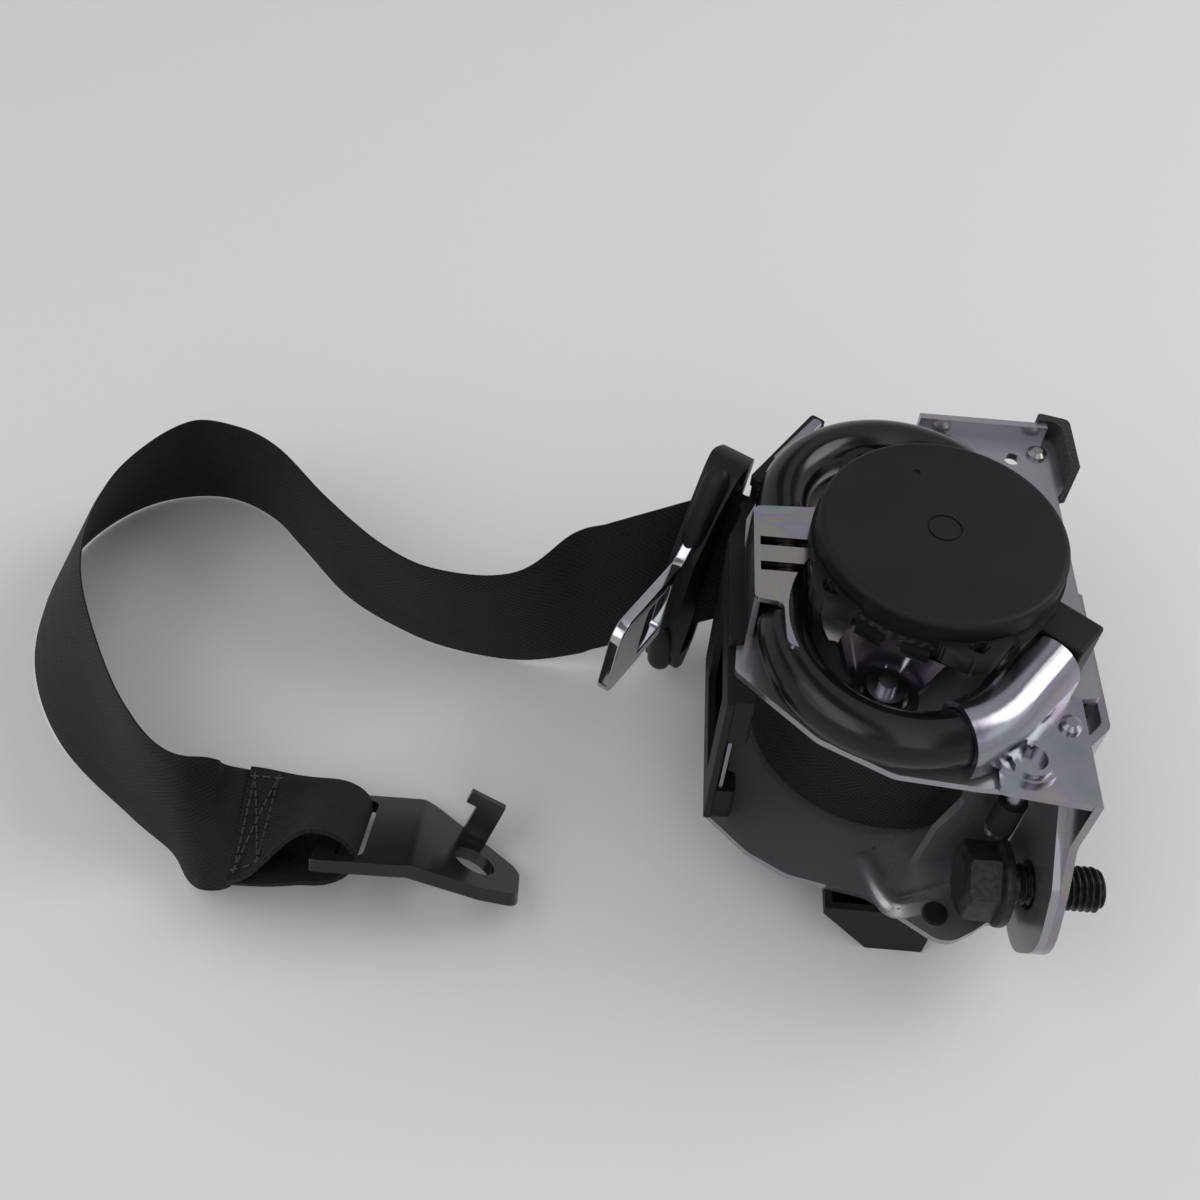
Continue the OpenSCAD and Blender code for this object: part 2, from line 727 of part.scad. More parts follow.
module spiral_spring() {
    steps = spring_turns * 20;
    function arm(i, d) =
        let (r = spring_r0 + (spring_r1 - spring_r0) * i / steps + d, a = i * 18)
        r * [cos(a), sin(a)];
    color("steelblue")
        translate([0, 0, spring_z0])
            linear_extrude(spring_z1 - spring_z0)
                polygon(concat([for (i = [0:steps]) arm(i, 0)], [for (i = [steps:-1:0]) arm(i, spring_t)]));
}

// Belt: free strap swept as a ribbon along its route, with the sewn loop round the anchor's bar
strap_t0 = 3;

function lean_up(h, lean) = [-h.y * sin(lean), h.x * sin(lean), cos(lean)];
straight = [for (t = [[strap_t0, 0], [mouth_t - 5, 0], [mouth_t + 2, 0.1], [slope_t, 1], [slope_t + 41, 1]])
    [run(t[0]).x, run(t[0]).y, slope_z(t[0]), -run_lean * t[1]]];
anchor_u = [cos(anchor_yaw) * cos(anchor_dip), sin(anchor_yaw) * cos(anchor_dip), -sin(anchor_dip)];
tail_p = anchor_c - anchor_u * (loop_ri + belt_t + tail_l - 4);
stations = concat(straight, belt_route, [[tail_p.x - 10.8, tail_p.y - 2.7, 22, 55], concat(tail_p, [anchor_lean])]);
station_n = len(stations);

function heading(i) =
    let (a = stations[max(i - 1, 0)], b = stations[min(i + 1, station_n - 1)])
    i == station_n - 1 ? [anchor_u.x, anchor_u.y] : i < 5 ? run_d : unit([b.x - a.x, b.y - a.y]);
function strap_width(i) = i > station_n - 3 ? (i == station_n - 1 ? end_w - 1.5 : (belt_w + end_w) / 2) : belt_w;
function strap_ring(i) =
    let (s = stations[i], h = heading(i), up = lean_up(h, s[3]) * strap_width(i) / 2,
        side = cross([h.x, h.y, 0], unit(up)) * belt_t / 2, c = [s.x, s.y, s.z])
    [c - up - side, c - up + side, c + up + side, c + up - side];

module anchor_frame() {
    translate(anchor_c)
        rotate([0, anchor_dip, anchor_yaw])
            rotate([-anchor_lean, 0, 0])
                children();
}

module belt_strap() {
    color([0.07, 0.07, 0.09]) {
        polyhedron(
            [for (i = [0:station_n - 1]) each strap_ring(i)],
            concat([[3, 2, 1, 0]],
                // Both faces are split along the same diagonal, so the wall keeps its thickness
                [for (i = [0:station_n - 2]) for (k = [0:3])
                    let (a = 4 * i + k, b = 4 * i + (k + 1) % 4)
                    each k < 2 ? [[a, b, a + 4], [b, b + 4, a + 4]] : [[a, b, b + 4], [a, b + 4, a + 4]]],
                [[for (k = [0:3]) 4 * (station_n - 1) + k]]));
        // Sewn tail, double thickness, and the loop
        anchor_frame() {
            translate([-loop_ri - belt_t - tail_l, -belt_t, -end_w / 2])
                cube([tail_l + 1, 2 * belt_t, end_w]);
            ring(loop_ri + belt_t, loop_ri, -end_w / 2, end_w / 2);
        }
    }
}

// Spool and what turns with it
flange_r = 24;
flange_t = 1.1;

module spool() {
    z0 = low_z1 + 0.5;
    z1 = up_z0 - 0.5;
    color("lightgray")
        difference() {
            union() {
                disc(hub_r, z0, z1);
                disc(flange_r, z0, z0 + flange_t);
                disc(flange_r, z1 - flange_t, z1);
            }
            disc(bar_r, z0 - 1, z1 + 1);
        }
}

module belt_roll() {
    color([0.08, 0.08, 0.1])
        ring(roll_r, hub_r, belt_mid - belt_w / 2, belt_mid + belt_w / 2);
}

module torsion_bar() {
    color("gray") {
        disc(bar_r, cover_wall + 0.4, case_z1 - case_wall - 1);
    }
}

head_z0 = low_z0 - 1.6;
head_z1 = low_z1 + 0.5;
head_r = 19;
pawl_p = [0, -13.2];
pawl_r = 2.4;

module pawl_pocket(extra) {
    difference() {
        ring(head_r + 2, 9.2 - extra, head_z0 - 1, head_z1 + 1);
        rotate([0, 0, 205])
            translate([-60, 0, head_z0 - 2])
                cube([120, 60, 20]);
        rotate([0, 0, -45])
            translate([-60, 0, head_z0 - 2])
                cube([120, 60, 20]);
    }
}

module lock_head() {
    color("gainsboro")
        difference() {
            disc(head_r, head_z0, head_z1);
            disc(bar_r, head_z0 - 1, head_z1 + 1);
            // Pocket that the pawl swings out of
            translate([0, 0, head_z0 + 0.6])
                linear_extrude(10)
                    polygon(rounded([[-6, -9.4, 1], [16, -6, 1], [30, -6, 0], [30, -30, 0], [-6, -30, 0]]));
        }
    color("gainsboro")
        at(pawl_p.x, pawl_p.y)
            disc(pawl_pin_r, head_z0 + 0.6, head_z1 - 0.3);
}

pawl_pin_r = 1.5;

module lock_pawl() {
    z0 = head_z0 + 0.9;
    z1 = head_z1 - 0.6;
    color("gray")
        difference() {
            slab([[-3, -16, 2.2], [-3, -10.6, 2], [2, -10, 2], [12, -9, 1], [16.4, -8.6, 0.8], [15.6, -11.1, 0.6],
                [8, -15.1, 3]], z0, z1);
            at(pawl_p.x, pawl_p.y)
                disc(pawl_pin_r + fit, z0 - 1, z1 + 1);
        }
}

// Clutch wheel: plastic ratchet that lags behind the spool when the sensor stops it and swings the pawl out
clutch_teeth = 36;
clutch_r = 26;
clutch_z0 = cover_wall + 5;
clutch_z1 = head_z0 - gap;

module clutch_wheel() {
    step = 360 / clutch_teeth;
    color("ivory")
        difference() {
            union() {
                translate([0, 0, clutch_z1 - 3])
                    linear_extrude(3)
                        polygon([for (i = [0:clutch_teeth - 1]) each [
                            (clutch_r - 1.8) * [cos(i * step), sin(i * step)],
                            clutch_r * [cos(i * step), sin(i * step)]]]);
                disc(8, clutch_z0, clutch_z1);
            }
            disc(bush_ri, clutch_z0 - 1, clutch_z1 + 1);
            for (a = [0:60:300])
                rotate([0, 0, a])
                    at(16, 0)
                        disc(4.6, clutch_z0 - 1, clutch_z1 + 1);
        }
}

pinion_r = 19;
pinion_hub = 9;
pinion_teeth = 9;

module drive_pinion() {
    color("gray")
        difference() {
            union() {
                disc(pinion_hub, up_z0 - 0.5, up_z1 + 1);
                disc(pinion_r, up_z1 + 1, lid_z0 - 1);
            }
            disc(bar_r, up_z0 - 2, lid_z1);
            for (i = [0:pinion_teeth - 1])
                rotate([0, 0, i * 360 / pinion_teeth])
                    translate([pinion_r + 1.6, 0, tube_z])
                        sphere(d = ball_d + 0.6, $fn = 32);
        }
}

module spring_arbor() {
    color("white")
        ring(arbor_r, bar_r, lid_z0 - 0.6, case_z1 - case_wall - 1);
}

// Vehicle sensor: the ball pushes the lever, whose tooth reaches for the clutch wheel
lever_px = -9;
lever_py = -39.5;
lever_pin_r = 1.2;
lever_z0 = clutch_z1 - 3;
lever_z1 = clutch_z1;

module sensor_lever() {
    pad_y = ball_c.y + ball_r + gap;
    color("ivory")
        difference() {
            union() {
                at(lever_px, lever_py)
                    disc(2.4, lever_z0, lever_z1);
                slab([[lever_px, lever_py - 1.2, 0], [ball_c.x + 2, pad_y, 0.5], [ball_c.x + 2, pad_y + 2.4, 0.8],
                    [4, pad_y + 2.4, 0.8], [3.6, -28.6, 0.3], [2.6, -28.6, 0.3], [1, pad_y + 2.4, 1],
                    [lever_px, lever_py + 1.2, 0]], lever_z0, lever_z1);
                // Pad hanging down behind the ball
                slab([[ball_c.x - 2, pad_y, 0.3], [ball_c.x + 2, pad_y, 0.3], [ball_c.x + 2, pad_y + 2.4, 0.3],
                    [ball_c.x - 2, pad_y + 2.4, 0.3]], ball_c.z - 3, lever_z1);
            }
            at(lever_px, lever_py)
                disc(lever_pin_r + fit, lever_z0 - 1, lever_z1 + 1);
        }
}

module sensor_ball() {
    color("silver")
        translate(ball_c)
            sphere(ball_r);
}

// Mounting bolt hanging loose in the ear, kept by a thin washer
washer_x0 = ear_x + 2 * plate_t + gap;
washer_t = 0.8;
shank_r = bolt_d / 2 - 0.6;

module retaining_washer() {
    color("black")
        difference() {
            bolt_line(bolt_d / 2 + 4, washer_x0, washer_x0 + washer_t);
            bolt_line(shank_r + fit, washer_x0 - 1, washer_x0 + washer_t + 1);
        }
}

module mounting_bolt() {
    head_h = 8.6;
    flange_h = 2.4;
    color([0.08, 0.08, 0.08]) {
        bolt_line(bolt_flange_d / 2, bolt_seat - flange_h, bolt_seat);
        bolt_line(shank_r, bolt_seat, washer_x0 + washer_t + 0.4);
        bolt_line(bolt_d / 2, washer_x0 + washer_t + 0.4, bolt_tip - 1.4);
        translate([bolt_tip - 1.4, -ear_y, ear_z])
            rotate([0, 90, 0])
                cylinder(r1 = bolt_d / 2, r2 = bolt_d / 2 - 1.2, h = 1.4);
        translate([bolt_seat - flange_h - head_h, -ear_y, ear_z])
            rotate([0, 90, 0])
                intersection() {
                    cylinder(d = bolt_af / cos(30), h = head_h, $fn = 6);
                    union() {
                        cylinder(r1 = bolt_af / 2 - 0.4, r2 = bolt_af / 2 + 1.6, h = 1.4);
                        translate([0, 0, 1.4])
                            cylinder(r = bolt_af / 2 + 1.6, h = head_h);
                    }
                }
    }
}

// Tongue: steel plate with the latch window, overmoulded with a black body round the belt slot
slot_l = belt_w + 13.2;
slot_plate = 5;
slot_body = 8.6;
body_d = 20;
body_t = 11;
blade_w = 24;

// Local frame: u towards the blade's tip, v along the slot, n through the plate
module tongue_frame() {
    translate(tongue_c)
        rotate([atan2(tongue_v.z, tongue_n.z), -asin(tongue_u.z), atan2(tongue_u.y, tongue_u.x)])
            children();
}

module tongue_plate() {
    color("gainsboro")
        tongue_frame()
            translate([0, 0, -tongue_t / 2])
                linear_extrude(tongue_t)
                    difference() {
                        polygon(rounded([[-6, -tongue_l / 2 + 3, 3], [7, -tongue_l / 2 + 3, 3],
                            [13, -blade_w / 2 - 6, 4], [18, -blade_w / 2, 4],
                            [body_d / 2 + blade_l, -blade_w / 2, 5], [body_d / 2 + blade_l, blade_w / 2, 5],
                            [18, blade_w / 2, 4], [13, blade_w / 2 + 6, 4],
                            [7, tongue_l / 2 - 3, 3], [-6, tongue_l / 2 - 3, 3]]));
                        translate([-slot_plate / 2, -slot_l / 2])
                            square([slot_plate, slot_l]);
                        // Latch window
                        polygon(rounded([[22, -8, 1.5], [36, -8, 1.5], [36, 8, 1.5], [22, 8, 1.5]]));
                    }
}

module tongue_cover() {
    n = 7;
    color([0.05, 0.05, 0.05])
        tongue_frame()
            difference() {
                intersection() {
                    translate([0, 0, -body_t / 2])
                        linear_extrude(body_t)
                            polygon(rounded([[-body_d / 2, -tongue_l / 2 + 2, 8], [4, -tongue_l / 2, 7],
                                [body_d / 2, -tongue_l / 2 + 12, 6], [body_d / 2 + 5, -10, 8],
                                [body_d / 2 + 5, 10, 8], [body_d / 2, tongue_l / 2 - 12, 6],
                                [4, tongue_l / 2, 7], [-body_d / 2, tongue_l / 2 - 2, 8]]));
                    // Crowned faces
                    rotate([90, 0, 0])
                        translate([0, 0, -tongue_l])
                            linear_extrude(2 * tongue_l)
                                polygon(rounded([[-body_d / 2 - 1, -3.6, 2], [0, -body_t / 2, 10],
                                    [body_d / 2 + 7, -3.4, 2], [body_d / 2 + 7, 3.4, 2], [0, body_t / 2, 10],
                                    [-body_d / 2 - 1, 3.6, 2]]));
                }
                translate([-slot_body / 2, -slot_l / 2, -body_t])
                    cube([slot_body, slot_l, 2 * body_t]);
                // Room for the overmoulded plate
                translate([-6, -tongue_l / 2 + 3, -tongue_t / 2])
                    linear_extrude(tongue_t)
                        polygon(rounded([[0, 0, 3], [13, 0, 3], [19, tongue_l / 2 - 3 - blade_w / 2 - 6, 4],
                            [24, tongue_l / 2 - 3 - blade_w / 2, 4], [60, tongue_l / 2 - 3 - blade_w / 2, 0],
                            [60, tongue_l / 2 - 3 + blade_w / 2, 0], [24, tongue_l / 2 - 3 + blade_w / 2, 4],
                            [19, tongue_l / 2 - 3 + blade_w / 2 + 6, 4], [13, tongue_l - 6, 3], [0, tongue_l - 6, 3]]));
            }
}

// Anchor plate: steel plate with the bar and slot for the folded belt end, bolt hole and locating hook
anchor_w = end_w + 9;

anchor_bend = 24;
anchor_bend_x = 21;
lobe_l = 31;
hole_at = 16.5;

module anchor_plate() {
    bar_w = 5.4;
    half = anchor_t / 2;
    lean = half * tan(anchor_bend / 2);
    tip = [anchor_bend_x + lobe_l * cos(anchor_bend), -lobe_l * sin(anchor_bend)];
    square_off = half * [sin(anchor_bend), cos(anchor_bend)];
    color([0.1, 0.1, 0.1])
        anchor_frame()
            rotate([90, 0, 0]) {
                difference() {
                    intersection() {
                        // Sheet seen from its side, bent down towards the bolt hole
                        translate([0, anchor_w, 0])
                            rotate([90, 0, 0])
                                linear_extrude(2 * anchor_w)
                                    polygon(rounded([[-bar_w / 2, -half, 0], [anchor_bend_x - lean, -half, 2],
                                        [tip.x - square_off.x, tip.y - square_off.y, 0],
                                        [tip.x + square_off.x, tip.y + square_off.y, 0],
                                        [anchor_bend_x + lean, half, 2 + anchor_t], [-bar_w / 2, half, 0]]));
                        // Its outline from above, with the slot
                        translate([0, 0, -lobe_l])
                            linear_extrude(2 * lobe_l)
                                difference() {
                                    polygon(rounded([[-bar_w / 2 - 1, -anchor_w / 2, 2.5], [20, -anchor_w / 2, 5],
                                        [39, -14, 6], [tip.x - 0.6, -8, 6], [tip.x - 0.6, 6, 6], [40, 11.5, 7],
                                        [24, anchor_w / 2, 7], [-bar_w / 2 - 1, anchor_w / 2, 2.5]]));
                                    polygon(rounded([[bar_w / 2, -end_w / 2 - 1, 1.5], [bar_w / 2 + 7, -end_w / 2 - 1, 3],
                                        [bar_w / 2 + 7, end_w / 2 + 1, 3], [bar_w / 2, end_w / 2 + 1, 1.5]]));
                                }
                    }
                    translate([anchor_bend_x, -1, 0])
                        rotate([0, anchor_bend, 0])
                            translate([hole_at, 0, -anchor_t])
                                cylinder(d = anchor_hole_d, h = 2 * anchor_t);
                }
                // Locating hook folded up from the far edge, its end turned back
                translate([anchor_bend_x, 0, 0])
                    rotate([0, anchor_bend, 0]) {
                        translate([11.5, 9.2, half - 0.4])
                            cube([7, 2.8, 13]);
                        translate([8.5, 9.2, half + 9.4])
                            cube([4, 2.8, 3.2]);
                    }
            }
}

frame();
mounting_bracket();
spacer_pin();
pin_sleeve();
felt_pad();
rivets();
webbing_guide();
guide_tie();
mechanism_cover();
cover_plug();
lower_bush();
upper_bush();
pretensioner_cover();
pretensioner_tube();
gas_generator();
squib_connector();
drive_balls();
cover_nut();
spring_housing();
spring_cap();
spiral_spring();
belt_strap();
spool();
belt_roll();
torsion_bar();
lock_head();
drive_pinion();
spring_arbor();
clutch_wheel();
lock_pawl();
sensor_lever();
sensor_ball();
retaining_washer();
mounting_bolt();
tongue_plate();
tongue_cover();
anchor_plate();
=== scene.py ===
import math

import bmesh
import bpy
from mathutils import Matrix, Vector


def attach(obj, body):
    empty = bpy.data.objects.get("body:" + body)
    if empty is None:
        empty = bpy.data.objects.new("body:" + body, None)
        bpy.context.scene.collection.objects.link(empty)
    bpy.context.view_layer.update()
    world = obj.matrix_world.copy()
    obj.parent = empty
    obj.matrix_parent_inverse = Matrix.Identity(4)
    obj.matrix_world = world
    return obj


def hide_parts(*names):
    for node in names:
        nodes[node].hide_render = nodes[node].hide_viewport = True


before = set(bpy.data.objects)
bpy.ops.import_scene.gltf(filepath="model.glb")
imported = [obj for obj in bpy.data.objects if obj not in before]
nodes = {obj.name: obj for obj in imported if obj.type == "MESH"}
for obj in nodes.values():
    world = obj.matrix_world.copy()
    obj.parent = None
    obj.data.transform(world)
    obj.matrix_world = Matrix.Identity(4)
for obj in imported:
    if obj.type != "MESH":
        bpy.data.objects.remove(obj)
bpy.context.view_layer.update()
scene = bpy.context.scene

# Studio: a pale matte floor, a soft lamp on the right and a little behind, a weaker and wider one
# in front on the left, and the camera where the photograph was taken from, looking down at fifty degrees.
scene.view_settings.view_transform = "Standard"
camera_data = bpy.data.cameras.new("camera")
camera_data.sensor_width = 36.0
camera_data.lens = 40.5
camera_data.clip_start = 0.01
camera = bpy.data.objects.new("camera", camera_data)
scene.collection.objects.link(camera)
camera_right = Vector((0.9965, 0.0641, 0.0538))
camera_up = Vector((-0.0837, 0.7633, 0.6407))
camera_back = camera_right.cross(camera_up)
camera.matrix_world = Matrix((
    (camera_right.x, camera_up.x, camera_back.x, -0.079),
    (camera_right.y, camera_up.y, camera_back.y, -0.221),
    (camera_right.z, camera_up.z, camera_back.z, 0.327),
    (0, 0, 0, 1)))
scene.camera = camera


def soft_lamp(name, place, target, size, power, tint):
    lamp = bpy.data.lights.new(name, "AREA")
    lamp.shape = "DISK"
    lamp.size = size
    lamp.energy = power
    lamp.color = tint
    lamp_object = bpy.data.objects.new(name, lamp)
    scene.collection.objects.link(lamp_object)
    lamp_object.location = place
    aim = Vector(target) - Vector(place)
    lamp_object.rotation_euler = aim.to_track_quat("-Z", "Y").to_euler()


soft_lamp("window_lamp", (0.95, 0.30, 1.05), (-0.05, 0, 0.04), 0.85, 7.0, (1.0, 0.99, 0.97))
soft_lamp("front_lamp", (-0.75, -0.55, 0.95), (-0.05, 0, 0.04), 1.2, 3.0, (0.97, 0.98, 1.0))

world = bpy.data.worlds.new("studio")
scene.world = world
world.use_nodes = True
# The ceiling is bright on the camera's side, dim behind the part and lit in strips, so bare metal has
# contrast; the walls are one plain pale tone
sky = world.node_tree


def sky_node(kind, **settings):
    node = sky.nodes.new(kind)
    for name, value in settings.items():
        if name.isupper():
            node.inputs[name.replace("_", " ").title()].default_value = value
        else:
            setattr(node, name, value)
    return node


sky_axes = sky_node("ShaderNodeSeparateXYZ")
sky.links.new(sky_node("ShaderNodeTexCoord").outputs["Generated"], sky_axes.inputs["Vector"])
sky_depth = sky_node("ShaderNodeMapRange", FROM_MIN=-0.9, FROM_MAX=0.9, TO_MIN=1.05, TO_MAX=0.28)
sky.links.new(sky_axes.outputs["Y"], sky_depth.inputs["Value"])
sky_turn = sky_node("ShaderNodeMath", operation="MULTIPLY")
sky_turn.inputs[1].default_value = 9.0
sky.links.new(sky_axes.outputs["X"], sky_turn.inputs[0])
sky_wave = sky_node("ShaderNodeMath", operation="SINE")
sky.links.new(sky_turn.outputs[0], sky_wave.inputs[0])
sky_strips = sky_node("ShaderNodeMapRange", interpolation_type="SMOOTHSTEP",
                      FROM_MIN=-0.5, FROM_MAX=0.5, TO_MIN=0.35, TO_MAX=1.65)
sky.links.new(sky_wave.outputs[0], sky_strips.inputs["Value"])
sky_ceiling = sky_node("ShaderNodeMath", operation="MULTIPLY")
sky.links.new(sky_depth.outputs["Result"], sky_ceiling.inputs[0])
sky.links.new(sky_strips.outputs["Result"], sky_ceiling.inputs[1])
sky_height = sky_node("ShaderNodeMapRange", interpolation_type="SMOOTHSTEP",
                      FROM_MIN=0.34, FROM_MAX=0.5, TO_MIN=0.0, TO_MAX=1.0)
sky.links.new(sky_axes.outputs["Z"], sky_height.inputs["Value"])
sky_whole = sky_node("ShaderNodeMix")
sky_whole.inputs["A"].default_value = 0.64
sky.links.new(sky_height.outputs["Result"], sky_whole.inputs["Factor"])
sky.links.new(sky_ceiling.outputs[0], sky_whole.inputs["B"])
sky.links.new(sky_whole.outputs["Result"], sky.nodes["Background"].inputs["Strength"])
sky.nodes["Background"].inputs["Color"].default_value = (0.93, 0.95, 1.0, 1)

FLOOR_HALF = 4
floor_mesh = bpy.data.meshes.new("floor")
floor_corners = [(x * FLOOR_HALF, y * FLOOR_HALF, 0) for x, y in ((-1, -1), (1, -1), (1, 1), (-1, 1))]
floor_mesh.from_pydata(floor_corners, [], [(0, 1, 2, 3)])
floor = bpy.data.objects.new("floor", floor_mesh)
scene.collection.objects.link(floor)


def blank_material(name):
    mat = bpy.data.materials.new(name)
    mat.use_nodes = True
    return mat, mat.node_tree, mat.node_tree.nodes["Principled BSDF"]


floor_mat, tree, surface = blank_material("floor_paint")
surface.inputs["Base Color"].default_value = (0.68, 0.68, 0.665, 1)
surface.inputs["Roughness"].default_value = 0.6
surface.inputs["Specular IOR Level"].default_value = 0.25
floor_mesh.materials.append(floor_mat)

# Webbing: black polyester belt, 47 mm wide and 1.2 mm thick, woven in narrow herringbone stripes.
# It comes off the roll through the guide and the tongue, lies in a loose loop and ends sewn round the anchor.


def node_group(name, inputs, outputs):
    group = bpy.data.node_groups.new(name, "ShaderNodeTree")
    for socket in inputs:
        group.interface.new_socket(name=socket, in_out="INPUT", socket_type="NodeSocketFloat")
    for socket, kind in outputs:
        group.interface.new_socket(name=socket, in_out="OUTPUT", socket_type=kind)
    entry = group.nodes.new("NodeGroupInput")
    leave = group.nodes.new("NodeGroupOutput")
    return group, entry, leave


def math_node(tree, operation, first, second=None):
    step = tree.nodes.new("ShaderNodeMath")
    step.operation = operation
    for slot, value in enumerate((first, second)):
        if value is None:
            continue
        if isinstance(value, (int, float)):
            step.inputs[slot].default_value = value
        else:
            tree.links.new(value, step.inputs[slot])
    return step.outputs[0]


weave, weave_in, weave_out = node_group(
    "belt_weave", ["Along", "Across"], [("Height", "NodeSocketFloat"), ("Shade", "NodeSocketFloat")])
# Millimetres: a herringbone stripe's width, the twill's lines to the millimetre, and a cord's spacing
STRIPE_WIDTH, TWILL_LINES, CORD_SPACING = 4.7, 0.62, 0.8
zigzag = math_node(weave, "PINGPONG", weave_in.outputs["Across"], STRIPE_WIDTH)
phase = math_node(weave, "ADD", math_node(weave, "MULTIPLY", weave_in.outputs["Along"], TWILL_LINES),
                  math_node(weave, "MULTIPLY", zigzag, TWILL_LINES))
twill = math_node(weave, "SINE", math_node(weave, "MULTIPLY", phase, 2 * math.pi))
cord_turn = math_node(weave, "MULTIPLY", weave_in.outputs["Across"], 2 * math.pi / CORD_SPACING)
cords = math_node(weave, "SINE", cord_turn)
twill_half = math_node(weave, "MULTIPLY_ADD", twill, 0.5)
twill_half.node.inputs[2].default_value = 0.5
cords_half = math_node(weave, "MULTIPLY_ADD", cords, 0.3)
cords_half.node.inputs[2].default_value = 0.7
height = math_node(weave, "MULTIPLY", twill_half, cords_half)
weave.links.new(height, weave_out.inputs["Height"])
# The Shade output is painted shade and painted highlight: the weave's grooves come out darker and its ridges
# lighter
weave.links.new(math_node(weave, "POWER", height, 1.5), weave_out.inputs["Shade"])


def ramp_node(tree, factor, stops):
    ramp = tree.nodes.new("ShaderNodeValToRGB")
    ramp.color_ramp.elements[0].position = stops[0][0]
    ramp.color_ramp.elements[0].color = (*stops[0][1], 1)
    ramp.color_ramp.elements[1].position = stops[-1][0]
    ramp.color_ramp.elements[1].color = (*stops[-1][1], 1)
    for place, colour in stops[1:-1]:
        ramp.color_ramp.elements.new(place).color = (*colour, 1)
    tree.links.new(factor, ramp.inputs["Fac"])
    return ramp.outputs["Color"]


def noise_node(tree, scale, detail):
    place = tree.nodes.new("ShaderNodeTexCoord")
    noise = tree.nodes.new("ShaderNodeTexNoise")
    noise.inputs["Scale"].default_value = scale
    noise.inputs["Detail"].default_value = detail
    tree.links.new(place.outputs["Object"], noise.inputs["Vector"])
    return noise.outputs["Fac"]


def bump_node(tree, surface, height, distance, strength):
    bump = tree.nodes.new("ShaderNodeBump")
    bump.inputs["Distance"].default_value = distance
    bump.inputs["Strength"].default_value = strength
    tree.links.new(height, bump.inputs["Height"])
    tree.links.new(bump.outputs["Normal"], surface.inputs["Normal"])


belt_mat, tree, surface = blank_material("belt_weave_black")
belt_uv = tree.nodes.new("ShaderNodeUVMap")
belt_uv.uv_map = "belt"
belt_xy = tree.nodes.new("ShaderNodeSeparateXYZ")
tree.links.new(belt_uv.outputs["UV"], belt_xy.inputs["Vector"])
weave_use = tree.nodes.new("ShaderNodeGroup")
weave_use.node_tree = weave
MM_PER_METRE = 1000
tree.links.new(math_node(tree, "MULTIPLY", belt_xy.outputs["X"], MM_PER_METRE), weave_use.inputs["Along"])
tree.links.new(math_node(tree, "MULTIPLY", belt_xy.outputs["Y"], MM_PER_METRE), weave_use.inputs["Across"])
# The belt's colour holds painted shade in the weave's grooves and a painted highlight on its ridges; the yarn
# itself is one even black
tree.links.new(ramp_node(tree, weave_use.outputs["Shade"], [
    (0.0, (0.0020, 0.0020, 0.0025)), (0.6, (0.0055, 0.0055, 0.0066)), (1.0, (0.013, 0.013, 0.015))]),
    surface.inputs["Base Color"])
surface.inputs["Roughness"].default_value = 0.72
surface.inputs["Specular IOR Level"].default_value = 0.25
surface.inputs["Sheen Weight"].default_value = 0.03
surface.inputs["Sheen Roughness"].default_value = 0.5
bump_node(tree, surface, weave_use.outputs["Height"], 0.00022, 0.8)

BELT_WIDTH, BELT_THICK, BELT_MIDDLE = 0.047, 0.0012, 0.0475
ROLL_RADIUS, ROLL_GAP = 0.0365, 0.0003
run_angle = math.radians(95)
run_radius = ROLL_RADIUS + ROLL_GAP + BELT_THICK / 2
run_way = Vector((-math.sin(run_angle), math.cos(run_angle)))
run_start = run_radius * Vector((math.cos(run_angle), math.sin(run_angle)))
# The guide's wall turns in at its knee; the belt leaves where its run crosses that wall, then slopes down
guide_knee, guide_far = Vector((-0.0465, 0.016)), Vector((-0.0376, 0.042))
guide_way = (guide_far - guide_knee).normalized()
to_knee = guide_knee - run_start
mouth_at = ((to_knee.x * guide_way.y - to_knee.y * guide_way.x)
            / (run_way.x * guide_way.y - run_way.y * guide_way.x))
slope_at, run_fall, run_lean = mouth_at + 0.005, 0.45, 8.3
SLOPE_LENGTH, SLOPE_STEPS = 0.041, 5
run_places = [(0.003, 0), (mouth_at - 0.005, 0), (mouth_at + 0.002, 0.1), (slope_at, 1)]
run_places += [(slope_at + SLOPE_LENGTH * k / SLOPE_STEPS, 1) for k in range(1, SLOPE_STEPS + 1)]
belt_places = []
for along, lean in run_places:
    spot = run_start + along * run_way
    drop = run_fall * max(0.0, along - slope_at)
    belt_places.append((spot.x, spot.y, BELT_MIDDLE - drop, -run_lean * lean, BELT_WIDTH))
# Loose loop on the floor: millimetres of the middle line, then the lean towards the loop's inside
for x, y, z, lean in [
        (-103, 24, 23.9, 7), (-123, 24.6, 23.6, 11), (-139, 31, 23.6, 9), (-158, 44.5, 23.8, 4),
        (-176, 63, 23.8, 4), (-190, 73.5, 23.5, 10), (-206, 77.5, 23.1, 16), (-222, 70, 22.2, 24),
        (-233, 54, 21.6, 28), (-236, 33, 21.4, 29), (-232, 11, 21.6, 28), (-219, -12, 22.4, 23),
        (-198, -35, 23.4, 10)]:
    belt_places.append((x / MM_PER_METRE, y / MM_PER_METRE, z / MM_PER_METRE, lean, BELT_WIDTH))
# The end is gathered, turns over flat and goes round the bar of the tilted anchor plate
anchor_bar = Vector((-0.1425, -0.047, 0.0186))
anchor_turn = Matrix.Rotation(math.radians(2), 3, "Z") @ Matrix.Rotation(math.radians(2), 3, "Y")
anchor_way = anchor_turn @ Vector((1, 0, 0))
anchor_lean, sleeve_lean, sleeve_length = 126, 88, 0.024
end_width = 0.033
belt_places.append((-0.183, -0.0462, 0.0215, 12, 0.0415))
belt_places.append((-0.174, -0.0488, 0.0195, 50, 0.0335))
for reach in (sleeve_length + 0.0005, sleeve_length - 0.004):
    belt_places.append((*(anchor_bar - anchor_way * reach), sleeve_lean, end_width - 0.0005))


